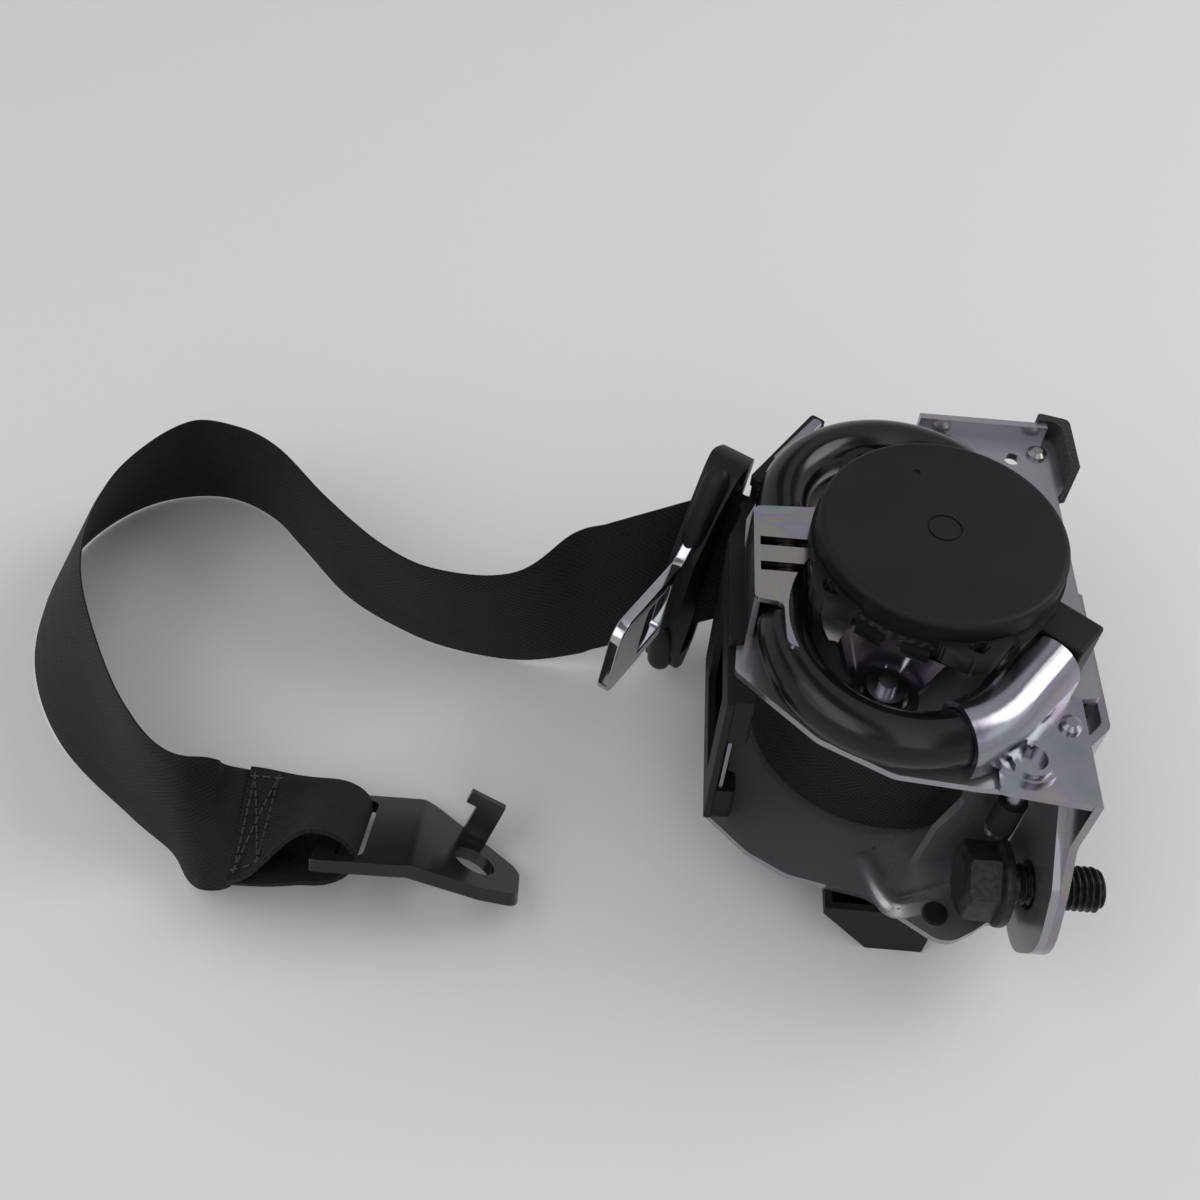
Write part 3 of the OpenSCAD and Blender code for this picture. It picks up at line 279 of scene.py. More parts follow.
def smooth_path(places, steps):
    path = []
    for i in range(len(places) - 1):
        p = [places[max(0, min(len(places) - 1, i + k))] for k in (-1, 0, 1, 2)]
        for s in range(steps):
            t = s / steps
            path.append([0.5 * (2 * b + (c - a) * t + (2 * a - 5 * b + 4 * c - d) * t * t
                                + (3 * b - a - 3 * c + d) * t ** 3)
                         for a, b, c, d in zip(*p)])
    path.append(list(places[-1]))
    return path


SELVEDGE_SHARE = 0.35


def belt_ribbon(name, path, thick, across=10):
    """A closed ribbon with thinner selvedges along path: x, y, z, lean, width."""
    rows, along, verts, faces, uvs = [], 0.0, [], [], []
    last = len(path) - 1
    for i, (x, y, z, lean, width) in enumerate(path):
        a, b = path[max(i - 1, 0)], path[min(i + 1, last)]
        way = Vector((b[0] - a[0], b[1] - a[1], 0)).normalized()
        lean = math.radians(lean)
        up = Vector((-way.y * math.sin(lean), way.x * math.sin(lean), math.cos(lean)))
        side = way.cross(up).normalized()
        if i:
            along += (Vector((x, y, z)) - Vector(path[i - 1][:3])).length
        ring = []
        for face_side in (1, -1):
            for k in range(across + 1):
                v = k / across - 0.5 if face_side > 0 else 0.5 - k / across
                half = thick / 2 * (SELVEDGE_SHARE if k in (0, across) else 1.0)
                spot = Vector((x, y, z)) + up * v * width + side * half * face_side
                ring.append((spot, (along, v * BELT_WIDTH + BELT_WIDTH / 2)))
        rows.append(ring)
    count = len(rows[0])
    for ring in rows:
        verts += [spot for spot, uv in ring]
    for i in range(last):
        for k in range(count):
            n = (k + 1) % count
            faces.append((i * count + k, i * count + n, (i + 1) * count + n, (i + 1) * count + k))
            uvs.append((rows[i][k][1], rows[i][n][1], rows[i + 1][n][1], rows[i + 1][k][1]))
    for i in (0, last):
        for k in range(across):
            quad = [i * count + k, i * count + k + 1, i * count + count - 2 - k, i * count + count - 1 - k]
            quad = quad if i else quad[::-1]
            faces.append(tuple(quad))
            uvs.append(tuple(rows[i][q - i * count][1] for q in quad))
    return shaped(name, verts, faces, uvs), along


def shaped(name, verts, faces, uvs=None, angle=40):
    mesh = bpy.data.meshes.new(name)
    mesh.from_pydata([tuple(v) for v in verts], [], faces)
    if uvs:
        layer = mesh.uv_layers.new(name="belt")
        flat = [c for face in uvs for uv in face for c in uv]
        layer.data.foreach_set("uv", flat)
    mesh.update()
    work = bmesh.new()
    work.from_mesh(mesh)
    bmesh.ops.recalc_face_normals(work, faces=work.faces)
    work.to_mesh(mesh)
    work.free()
    mesh.shade_smooth()
    mesh.set_sharp_from_angle(angle=math.radians(angle))
    piece = bpy.data.objects.new(name, mesh)
    scene.collection.objects.link(piece)
    return piece


belt_path = smooth_path(belt_places, 10)
free_belt, belt_length = belt_ribbon("free_belt", belt_path, BELT_THICK)
free_belt.data.materials.append(belt_mat)

# Folded end: the belt goes over the anchor's bar, through the slot and back under it in a long sleeve,
# twisted a little to lie with the bar, and a box stitch holds the two layers together.
SLEEVE_HALF, SLEEVE_BEND, SLEEVE_REACH = 0.007, 0.003, 0.0104
SLEEVE_STEPS, BEND_STEPS, SLEEVE_ACROSS = 14, 24, 8
RIPPLE_HIGH, RIPPLE_TURN = 0.0006, 22
sleeve_straight = sleeve_length - SLEEVE_BEND


def sleeve_share(u):
    t = min(1.0, max(0.0, (u + sleeve_length) / sleeve_straight))
    return t * t * (3 - 2 * t)


def sleeve_axes(u):
    lean = sleeve_lean + (anchor_lean - sleeve_lean) * sleeve_share(u)
    up = anchor_turn @ Matrix.Rotation(-math.radians(lean), 3, "X") @ Vector((0, 0, 1))
    return up, anchor_way.cross(up)


def sleeve_open(u):
    return BELT_THICK / 2 + (SLEEVE_HALF - BELT_THICK / 2) * sleeve_share(u)


sleeve_line = []
for k in range(SLEEVE_STEPS):
    u = sleeve_straight * k / SLEEVE_STEPS - sleeve_length
    sleeve_line.append((u, sleeve_open(u)))
for k in range(BEND_STEPS + 1):
    turn = math.radians(90 - 180 * k / BEND_STEPS)
    sleeve_line.append((SLEEVE_REACH * math.cos(turn) - SLEEVE_BEND, SLEEVE_HALF * math.sin(turn)))
sleeve_line += [(u, -n) for u, n in sleeve_line[SLEEVE_STEPS - 1::-1]]
sleeve_ring = [(0.5, k / SLEEVE_ACROSS - 0.5) for k in range(SLEEVE_ACROSS + 1)]
sleeve_ring += [(-0.5, 0.5 - k / SLEEVE_ACROSS) for k in range(SLEEVE_ACROSS + 1)]
loop_verts, loop_uvs, loop_along = [], [], 0.0
for i, (u, n) in enumerate(sleeve_line):
    a, b = sleeve_line[max(i - 1, 0)], sleeve_line[min(i + 1, len(sleeve_line) - 1)]
    way = Vector((b[0] - a[0], b[1] - a[1])).normalized()
    up, side = sleeve_axes(u)
    if i:
        loop_along += math.hypot(u - sleeve_line[i - 1][0], n - sleeve_line[i - 1][1])
    for off, v in sleeve_ring:
        # the gathered belt ripples between its selvedges
        ripple = RIPPLE_HIGH * math.sin(v * RIPPLE_TURN) * sleeve_share(u) * (1 - sleeve_share(u)) * 4
        spot_u = u - way.y * (off * BELT_THICK + ripple)
        spot_n = n + way.x * (off * BELT_THICK + ripple)
        loop_verts.append(anchor_bar + anchor_way * spot_u + side * spot_n + up * v * end_width)
        loop_uvs.append((loop_along, v * BELT_WIDTH + BELT_WIDTH / 2))


def ring_faces(rows, ring):
    """Quads between rows that have ring points each, and one face over either end."""
    faces = []
    for i in range(rows - 1):
        for k in range(ring):
            n = (k + 1) % ring
            faces.append((i * ring + k, i * ring + n, (i + 1) * ring + n, (i + 1) * ring + k))
    for start in (0, (rows - 1) * ring):
        faces.append(tuple(start + k for k in range(ring)))
    return faces


loop_faces = ring_faces(len(sleeve_line), len(sleeve_ring))
loop_face_uvs = [tuple(loop_uvs[q] for q in face) for face in loop_faces]
belt_end = shaped("belt_end", loop_verts, loop_faces, loop_face_uvs)
belt_end.data.materials.append(belt_mat)


def mottled_colour(tree, surface, scale, detail, stops):
    tree.links.new(ramp_node(tree, noise_node(tree, scale, detail), stops), surface.inputs["Base Color"])


thread_mat, tree, surface = blank_material("sewing_thread_black")
mottled_colour(tree, surface, 2500, 2, [(0.3, (0.010, 0.010, 0.011)), (0.7, (0.03, 0.03, 0.032))])
surface.inputs["Roughness"].default_value = 0.5


def geometry_tree(name, inputs):
    group = bpy.data.node_groups.new(name, "GeometryNodeTree")
    group.interface.new_socket(name="Geometry", in_out="INPUT", socket_type="NodeSocketGeometry")
    for socket in inputs:
        group.interface.new_socket(name=socket, in_out="INPUT", socket_type="NodeSocketFloat")
    group.interface.new_socket(name="Geometry", in_out="OUTPUT", socket_type="NodeSocketGeometry")
    return group, group.nodes.new("NodeGroupInput"), group.nodes.new("NodeGroupOutput")


# Stitches lie along the seam line's edges, one short six-sided bar every step
stitch_tree, stitch_in, stitch_out = geometry_tree("seam_stitches", ["Step", "Thread", "Length"])
as_curve = stitch_tree.nodes.new("GeometryNodeMeshToCurve")
resample = stitch_tree.nodes.new("GeometryNodeResampleCurve")
resample.mode = "LENGTH"
bar = stitch_tree.nodes.new("GeometryNodeMeshCylinder")
bar.inputs["Vertices"].default_value = 6
on_points = stitch_tree.nodes.new("GeometryNodeInstanceOnPoints")
tangent = stitch_tree.nodes.new("GeometryNodeInputTangent")
align = stitch_tree.nodes.new("FunctionNodeAlignRotationToVector")
align.axis = "Z"
realize = stitch_tree.nodes.new("GeometryNodeRealizeInstances")
paint = stitch_tree.nodes.new("GeometryNodeSetMaterial")
paint.inputs["Material"].default_value = thread_mat
link = stitch_tree.links.new
link(stitch_in.outputs["Geometry"], as_curve.inputs["Mesh"])
link(as_curve.outputs["Curve"], resample.inputs["Curve"])
link(stitch_in.outputs["Step"], resample.inputs["Length"])
link(resample.outputs["Curve"], on_points.inputs["Points"])
link(stitch_in.outputs["Thread"], bar.inputs["Radius"])
link(stitch_in.outputs["Length"], bar.inputs["Depth"])
link(bar.outputs["Mesh"], on_points.inputs["Instance"])
link(tangent.outputs["Tangent"], align.inputs["Vector"])
link(align.outputs["Rotation"], on_points.inputs["Rotation"])
link(on_points.outputs["Instances"], realize.inputs["Geometry"])
link(realize.outputs["Geometry"], paint.inputs["Geometry"])
link(paint.outputs["Geometry"], stitch_out.inputs["Geometry"])


def grown(name, base_mesh, tree, sizes):
    """Runs a geometry tree with these sizes on a mesh and keeps the result as a plain mesh at the origin."""
    holder = bpy.data.objects.new(name + "_base", base_mesh)
    scene.collection.objects.link(holder)
    run = holder.modifiers.new("grow", "NODES")
    run.node_group = tree
    for socket in tree.interface.items_tree:
        if socket.in_out == "INPUT" and socket.name in sizes:
            run[socket.identifier] = sizes[socket.name]
    bpy.context.view_layer.update()
    evaluated = holder.evaluated_get(bpy.context.evaluated_depsgraph_get())
    mesh = bpy.data.meshes.new_from_object(evaluated)
    mesh.name = name
    holder.modifiers.remove(run)
    bpy.data.objects.remove(holder)
    piece = bpy.data.objects.new(name, mesh)
    scene.collection.objects.link(piece)
    return piece


def seam_mesh(name, lines):
    mesh = bpy.data.meshes.new(name)
    points, edges = [], []
    for line in lines:
        first = len(points)
        points += [tuple(p) for p in line]
        edges += [(first + k, first + k + 1) for k in range(len(line) - 1)]
    mesh.from_pydata(points, edges, [])
    return mesh


SEAM_LIFT, SEAM_MARGIN, SEAM_STEPS = 0.0002, 0.003, 8


def on_sleeve(u, v, face):
    up, side = sleeve_axes(u)
    lift = sleeve_open(u) + BELT_THICK / 2 + SEAM_LIFT
    return anchor_bar + anchor_way * u + up * v + side * face * lift


seam_lines = []
near_u, far_u, edge_v = -0.0225, -0.0165, end_width / 2 - SEAM_MARGIN
for face in (1, -1):
    for (from_u, from_v), (to_u, to_v) in (
            ((near_u, -edge_v), (far_u, -edge_v)), ((near_u, edge_v), (far_u, edge_v)),
            ((near_u, -edge_v), (near_u, edge_v)), ((far_u, -edge_v), (far_u, edge_v)),
            ((near_u, -edge_v), (far_u, edge_v)), ((near_u, edge_v), (far_u, -edge_v))):
        seam_lines.append([on_sleeve(from_u + (to_u - from_u) * k / SEAM_STEPS,
                                     from_v + (to_v - from_v) * k / SEAM_STEPS, face)
                           for k in range(SEAM_STEPS + 1)])
end_stitches = grown("end_stitches", seam_mesh("seam_lines", seam_lines), stitch_tree,
                     {"Step": 0.0026, "Thread": 0.00032, "Length": 0.0021})
for piece in (free_belt, belt_end, end_stitches):
    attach(piece, "housing")
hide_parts("belt_strap")

# Belt on the spool: about 2.7 metres of the same belt, wound on the hub in about 17 tight turns.
# Its outer end lies where the free belt leaves, and it turns with the spool.
ROLL_LOW, ROLL_HIGH, TURN_STEPS = 0.024, 0.071, 64
roll_inner, roll_outer, roll_pitch = 0.0142, 0.0364, 0.00123
roll_turns = (roll_outer - roll_inner - BELT_THICK) / roll_pitch
roll_steps = int(roll_turns * TURN_STEPS)
roll_verts, roll_uv_points, roll_along = [], [], 0.0
for i in range(roll_steps + 1):
    turn = run_angle - 2 * math.pi * roll_turns * (1 - i / roll_steps)
    radius = roll_inner + roll_pitch * roll_turns * i / roll_steps
    if i:
        roll_along += radius * 2 * math.pi * roll_turns / roll_steps
    roll_ring = ((radius, ROLL_LOW), (radius + BELT_THICK, ROLL_LOW), (radius + BELT_THICK, BELT_MIDDLE),
                 (radius + BELT_THICK, ROLL_HIGH), (radius, ROLL_HIGH), (radius, BELT_MIDDLE))
    for r, z in roll_ring:
        roll_verts.append((r * math.cos(turn), r * math.sin(turn), z))
        roll_uv_points.append((roll_along, z - ROLL_LOW))
roll_faces = ring_faces(roll_steps + 1, len(roll_ring))
roll_uvs = [tuple(roll_uv_points[q] for q in face) for face in roll_faces]
wound_belt = shaped("wound_belt", roll_verts, roll_faces, roll_uvs)
wound_belt.data.materials.append(belt_mat)
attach(wound_belt, "spool")
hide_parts("belt_roll")

# Sheet steel: frame, bracket, lid and ties are pressed from steel strip. They, the nut, the pin and the
# rivets are plated with clear zinc, which shows faint violet, green and straw tints.
tint, tint_in, tint_out = node_group("zinc_tint", ["Scale", "Strength"], [
    ("Colour", "NodeSocketColor"), ("Rough", "NodeSocketFloat"), ("Height", "NodeSocketFloat")])
place = tint.nodes.new("ShaderNodeTexCoord")
cloud = tint.nodes.new("ShaderNodeTexNoise")
cloud.inputs["Detail"].default_value = 3
cloud.inputs["Distortion"].default_value = 1.2
tint.links.new(place.outputs["Object"], cloud.inputs["Vector"])
tint.links.new(tint_in.outputs["Scale"], cloud.inputs["Scale"])
film = ramp_node(tint, cloud.outputs["Fac"], [
    (0.26, (0.24, 0.30, 0.30)), (0.40, (0.31, 0.31, 0.34)), (0.50, (0.30, 0.255, 0.335)),
    (0.60, (0.34, 0.31, 0.27)), (0.74, (0.255, 0.305, 0.34))])
silver = tint.nodes.new("ShaderNodeMix")
silver.data_type = "RGBA"
silver.inputs[6].default_value = (0.36, 0.36, 0.365, 1)
tint.links.new(tint_in.outputs["Strength"], silver.inputs[0])
tint.links.new(film, silver.inputs[7])
tint.links.new(silver.outputs[2], tint_out.inputs["Colour"])
fine = tint.nodes.new("ShaderNodeTexNoise")
fine.inputs["Scale"].default_value = 900
fine.inputs["Detail"].default_value = 2
tint.links.new(place.outputs["Object"], fine.inputs["Vector"])
rough = tint.nodes.new("ShaderNodeMapRange")
rough.inputs["To Min"].default_value = 0.12
rough.inputs["To Max"].default_value = 0.36
tint.links.new(cloud.outputs["Fac"], rough.inputs["Value"])
tint.links.new(rough.outputs["Result"], tint_out.inputs["Rough"])
tint.links.new(fine.outputs["Fac"], tint_out.inputs["Height"])


def zinc_finish(name, scale, strength, metal=1.0):
    mat, tree, surface = blank_material(name)
    use = tree.nodes.new("ShaderNodeGroup")
    use.node_tree = tint
    use.inputs["Scale"].default_value = scale
    use.inputs["Strength"].default_value = strength
    tree.links.new(use.outputs["Colour"], surface.inputs["Base Color"])
    tree.links.new(use.outputs["Rough"], surface.inputs["Roughness"])
    surface.inputs["Metallic"].default_value = metal
    bump_node(tree, surface, use.outputs["Height"], 0.00002, 0.35)
    return mat


zinc_bright = zinc_finish("zinc_bright", 42, 0.9)
zinc_dull = zinc_finish("zinc_dull", 26, 0.35, 0.8)


MERGE_DISTANCE, FLAT_ANGLE, BEVEL_ANGLE, SHARP_ANGLE, FLAT_WEIGHT = 2e-6, 0.4, 38, 34, 80


def softened(node, width, segments=2):
    """A copy of a CAD solid with its sharp edges rounded over, as a pressed or moulded piece has them."""
    mesh = nodes[node].data.copy()
    mesh.name = node + "_piece"
    mesh.materials.clear()
    work = bmesh.new()
    work.from_mesh(mesh)
    bmesh.ops.remove_doubles(work, verts=work.verts, dist=MERGE_DISTANCE)
    bmesh.ops.dissolve_limit(work, angle_limit=math.radians(FLAT_ANGLE), verts=work.verts, edges=work.edges)
    work.to_mesh(mesh)
    work.free()
    for layer in list(mesh.uv_layers):
        mesh.uv_layers.remove(layer)
    piece = bpy.data.objects.new(mesh.name, mesh)
    scene.collection.objects.link(piece)
    bevel = piece.modifiers.new("edge", "BEVEL")
    bevel.width = width
    bevel.segments = segments
    bevel.limit_method = "ANGLE"
    bevel.angle_limit = math.radians(BEVEL_ANGLE)
    bevel.miter_outer = "MITER_ARC"
    bevel.use_clamp_overlap = True
    bpy.context.view_layer.update()
    done = bpy.data.meshes.new_from_object(piece.evaluated_get(bpy.context.evaluated_depsgraph_get()))
    piece.modifiers.remove(bevel)
    done.shade_smooth()
    done.set_sharp_from_angle(angle=math.radians(SHARP_ANGLE))
    piece.data = done
    weigh = piece.modifiers.new("flat_faces", "WEIGHTED_NORMAL")
    weigh.keep_sharp = True
    weigh.weight = FLAT_WEIGHT
    bpy.context.view_layer.update()
    even = bpy.data.meshes.new_from_object(piece.evaluated_get(bpy.context.evaluated_depsgraph_get()))
    piece.modifiers.remove(weigh)
    piece.data = even
    even.name = mesh.name
    return piece


for node, width, finish, slot in (
        ("frame", 0.0004, zinc_dull, "zinc_dark"), ("mounting_bracket", 0.0004, zinc_bright, "zinc_clear"),
        ("pretensioner_cover", 0.00035, zinc_bright, "zinc_clear"),
        ("guide_tie", 0.0002, zinc_bright, "zinc_clear")):
    piece = softened(node, width)
    piece.data.materials.append(finish)
    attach(piece, "housing")
    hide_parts(node)


def coat_nodes(names, finish):
    for node in names:
        nodes[node].data.materials.clear()
        nodes[node].data.materials.append(finish)


coat_nodes(("cover_nut", "spacer_pin", "rivets"), zinc_bright)

# Bead pressed into the lower plate's near lobe, bent round the foot of the wing.
# It is the frame's own sheet, raised, so it has the frame's dull zinc.
PLATE_TOP, BEAD_WIDTH, BEAD_HIGH, BEAD_SINK, BEAD_FADE = 0.022, 0.0074, 0.0014, 0.0002, 0.6
bead_path = smooth_path([(-0.0062, -0.0420), (-0.0040, -0.0470), (-0.0016, -0.0530), (0.0012, -0.0566),
                         (0.0062, -0.0554), (0.0110, -0.0533), (0.0158, -0.0512)], 6)
BEAD_STEPS = 10
bead_verts = []
for i, (x, y) in enumerate(bead_path):
    a, b = bead_path[max(i - 1, 0)], bead_path[min(i + 1, len(bead_path) - 1)]
    way = Vector((b[0] - a[0], b[1] - a[1])).normalized()
    share = i / (len(bead_path) - 1)
    rise = BEAD_HIGH * math.sin(math.pi * share) ** BEAD_FADE
    bead_ring = []
    for k in range(BEAD_STEPS + 1):
        across = k / BEAD_STEPS - 0.5
        bead_ring.append((across, rise * (0.5 + 0.5 * math.cos(2 * math.pi * across))))
    bead_ring += [(0.5, -BEAD_SINK), (-0.5, -BEAD_SINK)]
    for across, lift in bead_ring:
        off = across * BEAD_WIDTH
        bead_verts.append((x - way.y * off, y + way.x * off, PLATE_TOP + lift))
bead_faces = ring_faces(len(bead_path), len(bead_ring))
lobe_bead = shaped("lobe_bead", bead_verts, bead_faces, angle=35)
lobe_bead.data.materials.append(zinc_dull)
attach(lobe_bead, "housing")

# Moulded pieces: guide, covers, spring case, connector and sleeve are black glass-filled nylon,
# finely eroded all over and a little greyer in patches; bushes, arbor, wheel and lever are white acetal.
grain, grain_in, grain_out = node_group("moulded_grain", ["Grain", "Mottle"], [
    ("Height", "NodeSocketFloat"), ("Patch", "NodeSocketFloat")])
place = grain.nodes.new("ShaderNodeTexCoord")
spark = grain.nodes.new("ShaderNodeTexNoise")
spark.inputs["Detail"].default_value = 3
grain.links.new(place.outputs["Object"], spark.inputs["Vector"])
grain.links.new(grain_in.outputs["Grain"], spark.inputs["Scale"])
patch = grain.nodes.new("ShaderNodeTexNoise")
patch.inputs["Detail"].default_value = 4
grain.links.new(place.outputs["Object"], patch.inputs["Vector"])
grain.links.new(grain_in.outputs["Mottle"], patch.inputs["Scale"])
grain.links.new(spark.outputs["Fac"], grain_out.inputs["Height"])
grain.links.new(patch.outputs["Fac"], grain_out.inputs["Patch"])


def moulded_finish(name, dark, light, rough_low, rough_high, grain_scale=1800, depth=0.00006, gloss=0.22):
    mat, tree, surface = blank_material(name)
    use = tree.nodes.new("ShaderNodeGroup")
    use.node_tree = grain
    use.inputs["Grain"].default_value = grain_scale
    use.inputs["Mottle"].default_value = 60
    tone = ramp_node(tree, use.outputs["Patch"], [(0.3, dark), (0.75, light)])
    tree.links.new(tone, surface.inputs["Base Color"])
    spread = tree.nodes.new("ShaderNodeMapRange")
    spread.inputs["To Min"].default_value = rough_low
    spread.inputs["To Max"].default_value = rough_high
    tree.links.new(use.outputs["Patch"], spread.inputs["Value"])
    tree.links.new(spread.outputs["Result"], surface.inputs["Roughness"])
    surface.inputs["Specular IOR Level"].default_value = gloss
    bump_node(tree, surface, use.outputs["Height"], depth, 0.6)
    return mat


nylon_black = moulded_finish("nylon_black", (0.0042, 0.0042, 0.0046), (0.0085, 0.0085, 0.0090), 0.46, 0.60)
acetal_white = moulded_finish("acetal_white", (0.70, 0.69, 0.65), (0.78, 0.77, 0.73), 0.35, 0.5, gloss=0.5)
for node, width in (("webbing_guide", 0.0004), ("mechanism_cover", 0.0008), ("spring_housing", 0.00035),
                    ("squib_connector", 0.0008)):
    piece = softened(node, width)
    piece.data.materials.append(nylon_black)
    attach(piece, "housing")
    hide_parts(node)
coat_nodes(("spring_cap", "pin_sleeve", "cover_plug"), nylon_black)
coat_nodes(("lower_bush", "upper_bush", "spring_arbor", "clutch_wheel", "sensor_lever"), acetal_white)

# Ball tube: drawn steel tube, bent round the top of the frame and coated gloss black.
# One end goes in under the zinc lid's half-round shell.
tube_mat, tree, surface = blank_material("tube_gloss_black")
mottled_colour(tree, surface, 70, 3, [(0.3, (0.0025, 0.0025, 0.0028)), (0.7, (0.0050, 0.0050, 0.0054))])
surface.inputs["Roughness"].default_value = 0.2
surface.inputs["Specular IOR Level"].default_value = 0.25
surface.inputs["Coat Weight"].default_value = 0.2
surface.inputs["Coat Roughness"].default_value = 0.08
bump_node(tree, surface, noise_node(tree, 500, 2), 0.00003, 0.25)
coat_nodes(("pretensioner_tube",), tube_mat)

# Inner works: steel balls, bars, pawl and spring are bare and lightly oiled.
# Spool and lock head are die cast and keep their slightly rough skin.
steel_mat = zinc_finish("steel_oiled", 120, 0.1)
cast_mat, tree, surface = blank_material("die_cast")
mottled_colour(tree, surface, 250, 4, [(0.3, (0.42, 0.42, 0.43)), (0.7, (0.55, 0.55, 0.56))])
surface.inputs["Metallic"].default_value = 1.0
surface.inputs["Roughness"].default_value = 0.5
bump_node(tree, surface, noise_node(tree, 900, 3), 0.00005, 0.5)
coat_nodes(("gas_generator", "drive_balls", "spiral_spring", "torsion_bar", "drive_pinion", "lock_pawl",
            "sensor_ball"), steel_mat)
coat_nodes(("spool", "lock_head"), cast_mat)

# Felt strip: black needle felt with a fuzzy face.
# It is cut as a strip and glued round the plate's corner.
felt_mat, tree, surface = blank_material("felt_black")
mottled_colour(tree, surface, 1400, 5, [(0.3, (0.004, 0.004, 0.004)), (0.75, (0.018, 0.018, 0.0185))])
surface.inputs["Roughness"].default_value = 0.95
surface.inputs["Sheen Weight"].default_value = 0.1
bump_node(tree, surface, noise_node(tree, 1100, 6), 0.0006, 0.9)
coat_nodes(("felt_pad",), felt_mat)

# Mounting bolt: cold-headed steel with hexagon, flange and rolled thread, black phosphate and oil.
# It sits loose in the frame's ear, and the washer on its waist keeps it there.
phosphate_mat, tree, surface = blank_material("phosphate_black")
mottled_colour(tree, surface, 700, 4, [(0.3, (0.012, 0.012, 0.0125)), (0.72, (0.034, 0.034, 0.035))])
surface.inputs["Metallic"].default_value = 0.6
surface.inputs["Roughness"].default_value = 0.42
bump_node(tree, surface, noise_node(tree, 1500, 3), 0.00004, 0.5)
BOLT_Y, BOLT_Z, SEAT_X, TIP_X, BOLT_SIDES, THREAD_ROWS = -0.055, 0.035, 0.025, 0.049, 48, 120
bolt_verts = []


def bolt_row(x, radius_of):
    for k in range(BOLT_SIDES):
        angle = 2 * math.pi * k / BOLT_SIDES
        radius = radius_of(angle)
        bolt_verts.append((x, BOLT_Y + radius * math.cos(angle), BOLT_Z + radius * math.sin(angle)))


def round_bar(radius):
    return lambda a: radius


def hexagon(flat):
    return lambda a: flat / math.cos((a + math.pi / 6) % (math.pi / 3) - math.pi / 6)


def rounded_hexagon(flat, limit):
    return lambda a: min(hexagon(flat)(a), limit)


THREAD_PITCH, THREAD_DEPTH, THREAD_RISE, THREAD_START = 0.0016, 0.0009, 0.00065, 0.0366
SHANK_RADIUS, NECK_START, NECK_DEPTH, THREAD_BLEND = 0.0049, 0.0275, 0.0007, 0.001
TIP_LENGTH, TIP_SLOPE = 0.0016, 0.8


def thread_at(x):
    # the thread is rolled down to a waist up to the washer, so that the washer can't be lost
    fade = min(1.0, max(0.0, (x - THREAD_START) / THREAD_BLEND))
    neck = min(1.0, max(0.0, (x - NECK_START) / THREAD_BLEND)) * (1 - fade)
    tip = min(0.0, (TIP_X - TIP_LENGTH - x)) * TIP_SLOPE

    def radius_of(a):
        wave = abs(((x / THREAD_PITCH - a / (2 * math.pi)) % 1.0) * 2 - 1)
        root = 1 - min(1.0, max(0.0, wave * 1.5 - 0.2))
        return SHANK_RADIUS + fade * (THREAD_RISE - THREAD_DEPTH * root) - neck * NECK_DEPTH * root + tip
    return radius_of


for x, radius_of in (
        (0.014, round_bar(0.0055)), (0.0140, round_bar(0.0072)), (0.0148, rounded_hexagon(0.0084, 0.0089)),
        (0.0154, rounded_hexagon(0.0085, 0.0097)), (0.0222, hexagon(0.0085)), (0.0226, round_bar(0.0104)),
        (0.0230, round_bar(0.01095)), (0.0244, round_bar(0.011)), (SEAT_X, round_bar(0.0107)),
        (SEAT_X, round_bar(SHANK_RADIUS))):
    bolt_row(x, radius_of)
for i in range(1, THREAD_ROWS + 1):
    x = SEAT_X + (TIP_X - SEAT_X) * i / THREAD_ROWS
    bolt_row(x, thread_at(x))
bolt_faces = ring_faces(len(bolt_verts) // BOLT_SIDES, BOLT_SIDES)
bolt = shaped("mounting_bolt_threaded", bolt_verts, bolt_faces, angle=35)
bolt.data.materials.append(phosphate_mat)
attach(bolt, "bolt")
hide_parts("mounting_bolt")
coat_nodes(("retaining_washer",), phosphate_mat)

# Tongue: blanked steel plate, chromed, with a black moulded body round the belt slot.
# The body is moulded onto the plate, and the two slide on the belt together.
chrome_mat, tree, surface = blank_material("chrome_blade")
mottled_colour(tree, surface, 90, 2, [(0.3, (0.40, 0.41, 0.43)), (0.7, (0.50, 0.50, 0.515))])
surface.inputs["Metallic"].default_value = 1.0
surface.inputs["Roughness"].default_value = 0.09
blade = softened("tongue_plate", 0.0005)
blade.data.materials.append(chrome_mat)
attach(blade, "tongue")
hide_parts("tongue_plate")
tongue_black = moulded_finish("tongue_black", (0.004, 0.004, 0.0044), (0.008, 0.008, 0.0086), 0.4, 0.52,
                              2600, 0.00003)
grip = softened("tongue_cover", 0.002, 4)
grip.data.materials.append(tongue_black)
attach(grip, "tongue")
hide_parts("tongue_cover")
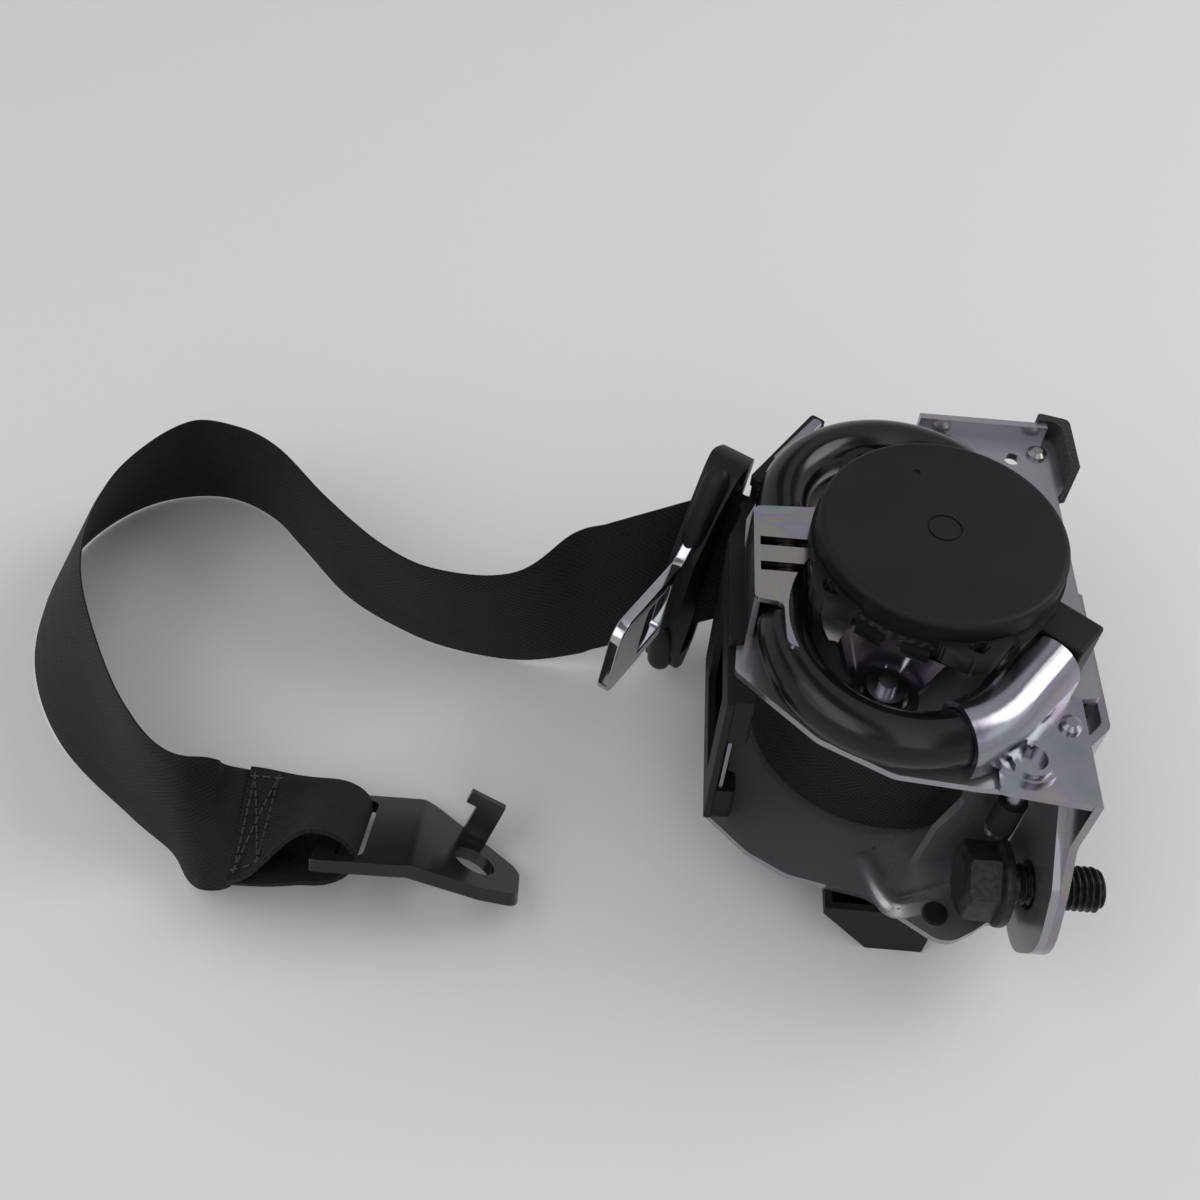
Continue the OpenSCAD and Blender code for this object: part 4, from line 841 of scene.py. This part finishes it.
# The moulding laps over the plate's shoulders in a rounded rim, above and below the blade
TONGUE_FROM_MOUTH, TONGUE_DOWN_SLOPE, RIM_STEPS, RIM_SHARE = 0.0125, 0.0075, 14, 0.8
tongue_spot = run_start + (mouth_at + TONGUE_FROM_MOUTH) * run_way
tongue_middle = Vector((tongue_spot.x, tongue_spot.y, BELT_MIDDLE - run_fall * TONGUE_DOWN_SLOPE))
tongue_out = Vector((-0.439, -0.878, 0.19)).normalized()
tongue_flat = tongue_out.cross(Vector((0.137, 0.144, 0.979))).normalized()
tongue_rise = tongue_flat.cross(tongue_out)
rim_line = smooth_path([(0.0052, 0.0362, 0.0022), (0.0068, 0.0338, 0.0034), (0.0086, 0.0288, 0.0036),
                        (0.0106, 0.0232, 0.0035), (0.0124, 0.0180, 0.0031), (0.0138, 0.0146, 0.0019)], 4)
rim_faces = ring_faces(len(rim_line), RIM_STEPS)
for end, rim_name in ((1, "grip_rim_upper"), (-1, "grip_rim_lower")):
    rim_verts = []
    for i, (out_by, rise_by, radius) in enumerate(rim_line):
        a, b = rim_line[max(i - 1, 0)], rim_line[min(i + 1, len(rim_line) - 1)]
        way = Vector((b[0] - a[0], b[1] - a[1])).normalized()
        for k in range(RIM_STEPS):
            turn = 2 * math.pi * k / RIM_STEPS
            off = radius * math.cos(turn) * RIM_SHARE
            spot = tongue_middle + tongue_out * (out_by - way.y * off)
            spot += tongue_rise * end * (rise_by + way.x * off)
            rim_verts.append(spot + tongue_flat * radius * math.sin(turn))
    rim = shaped(rim_name, rim_verts, rim_faces, angle=50)
    rim.data.materials.append(tongue_black)
    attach(rim, "tongue")

# Anchor plate: blanked steel end plate, painted satin black, with its locating hook bent up.
# The belt's sewn sleeve goes round its bar, and the plate swings in it.
anchor_mat, tree, surface = blank_material("anchor_satin_black")
mottled_colour(tree, surface, 120, 4, [(0.3, (0.005, 0.005, 0.0054)), (0.7, (0.010, 0.010, 0.0105))])
surface.inputs["Roughness"].default_value = 0.24
surface.inputs["Specular IOR Level"].default_value = 0.45
bump_node(tree, surface, noise_node(tree, 800, 3), 0.00004, 0.4)
end_plate = softened("anchor_plate", 0.0006)
end_plate.data.materials.append(anchor_mat)
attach(end_plate, "anchor")
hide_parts("anchor_plate")
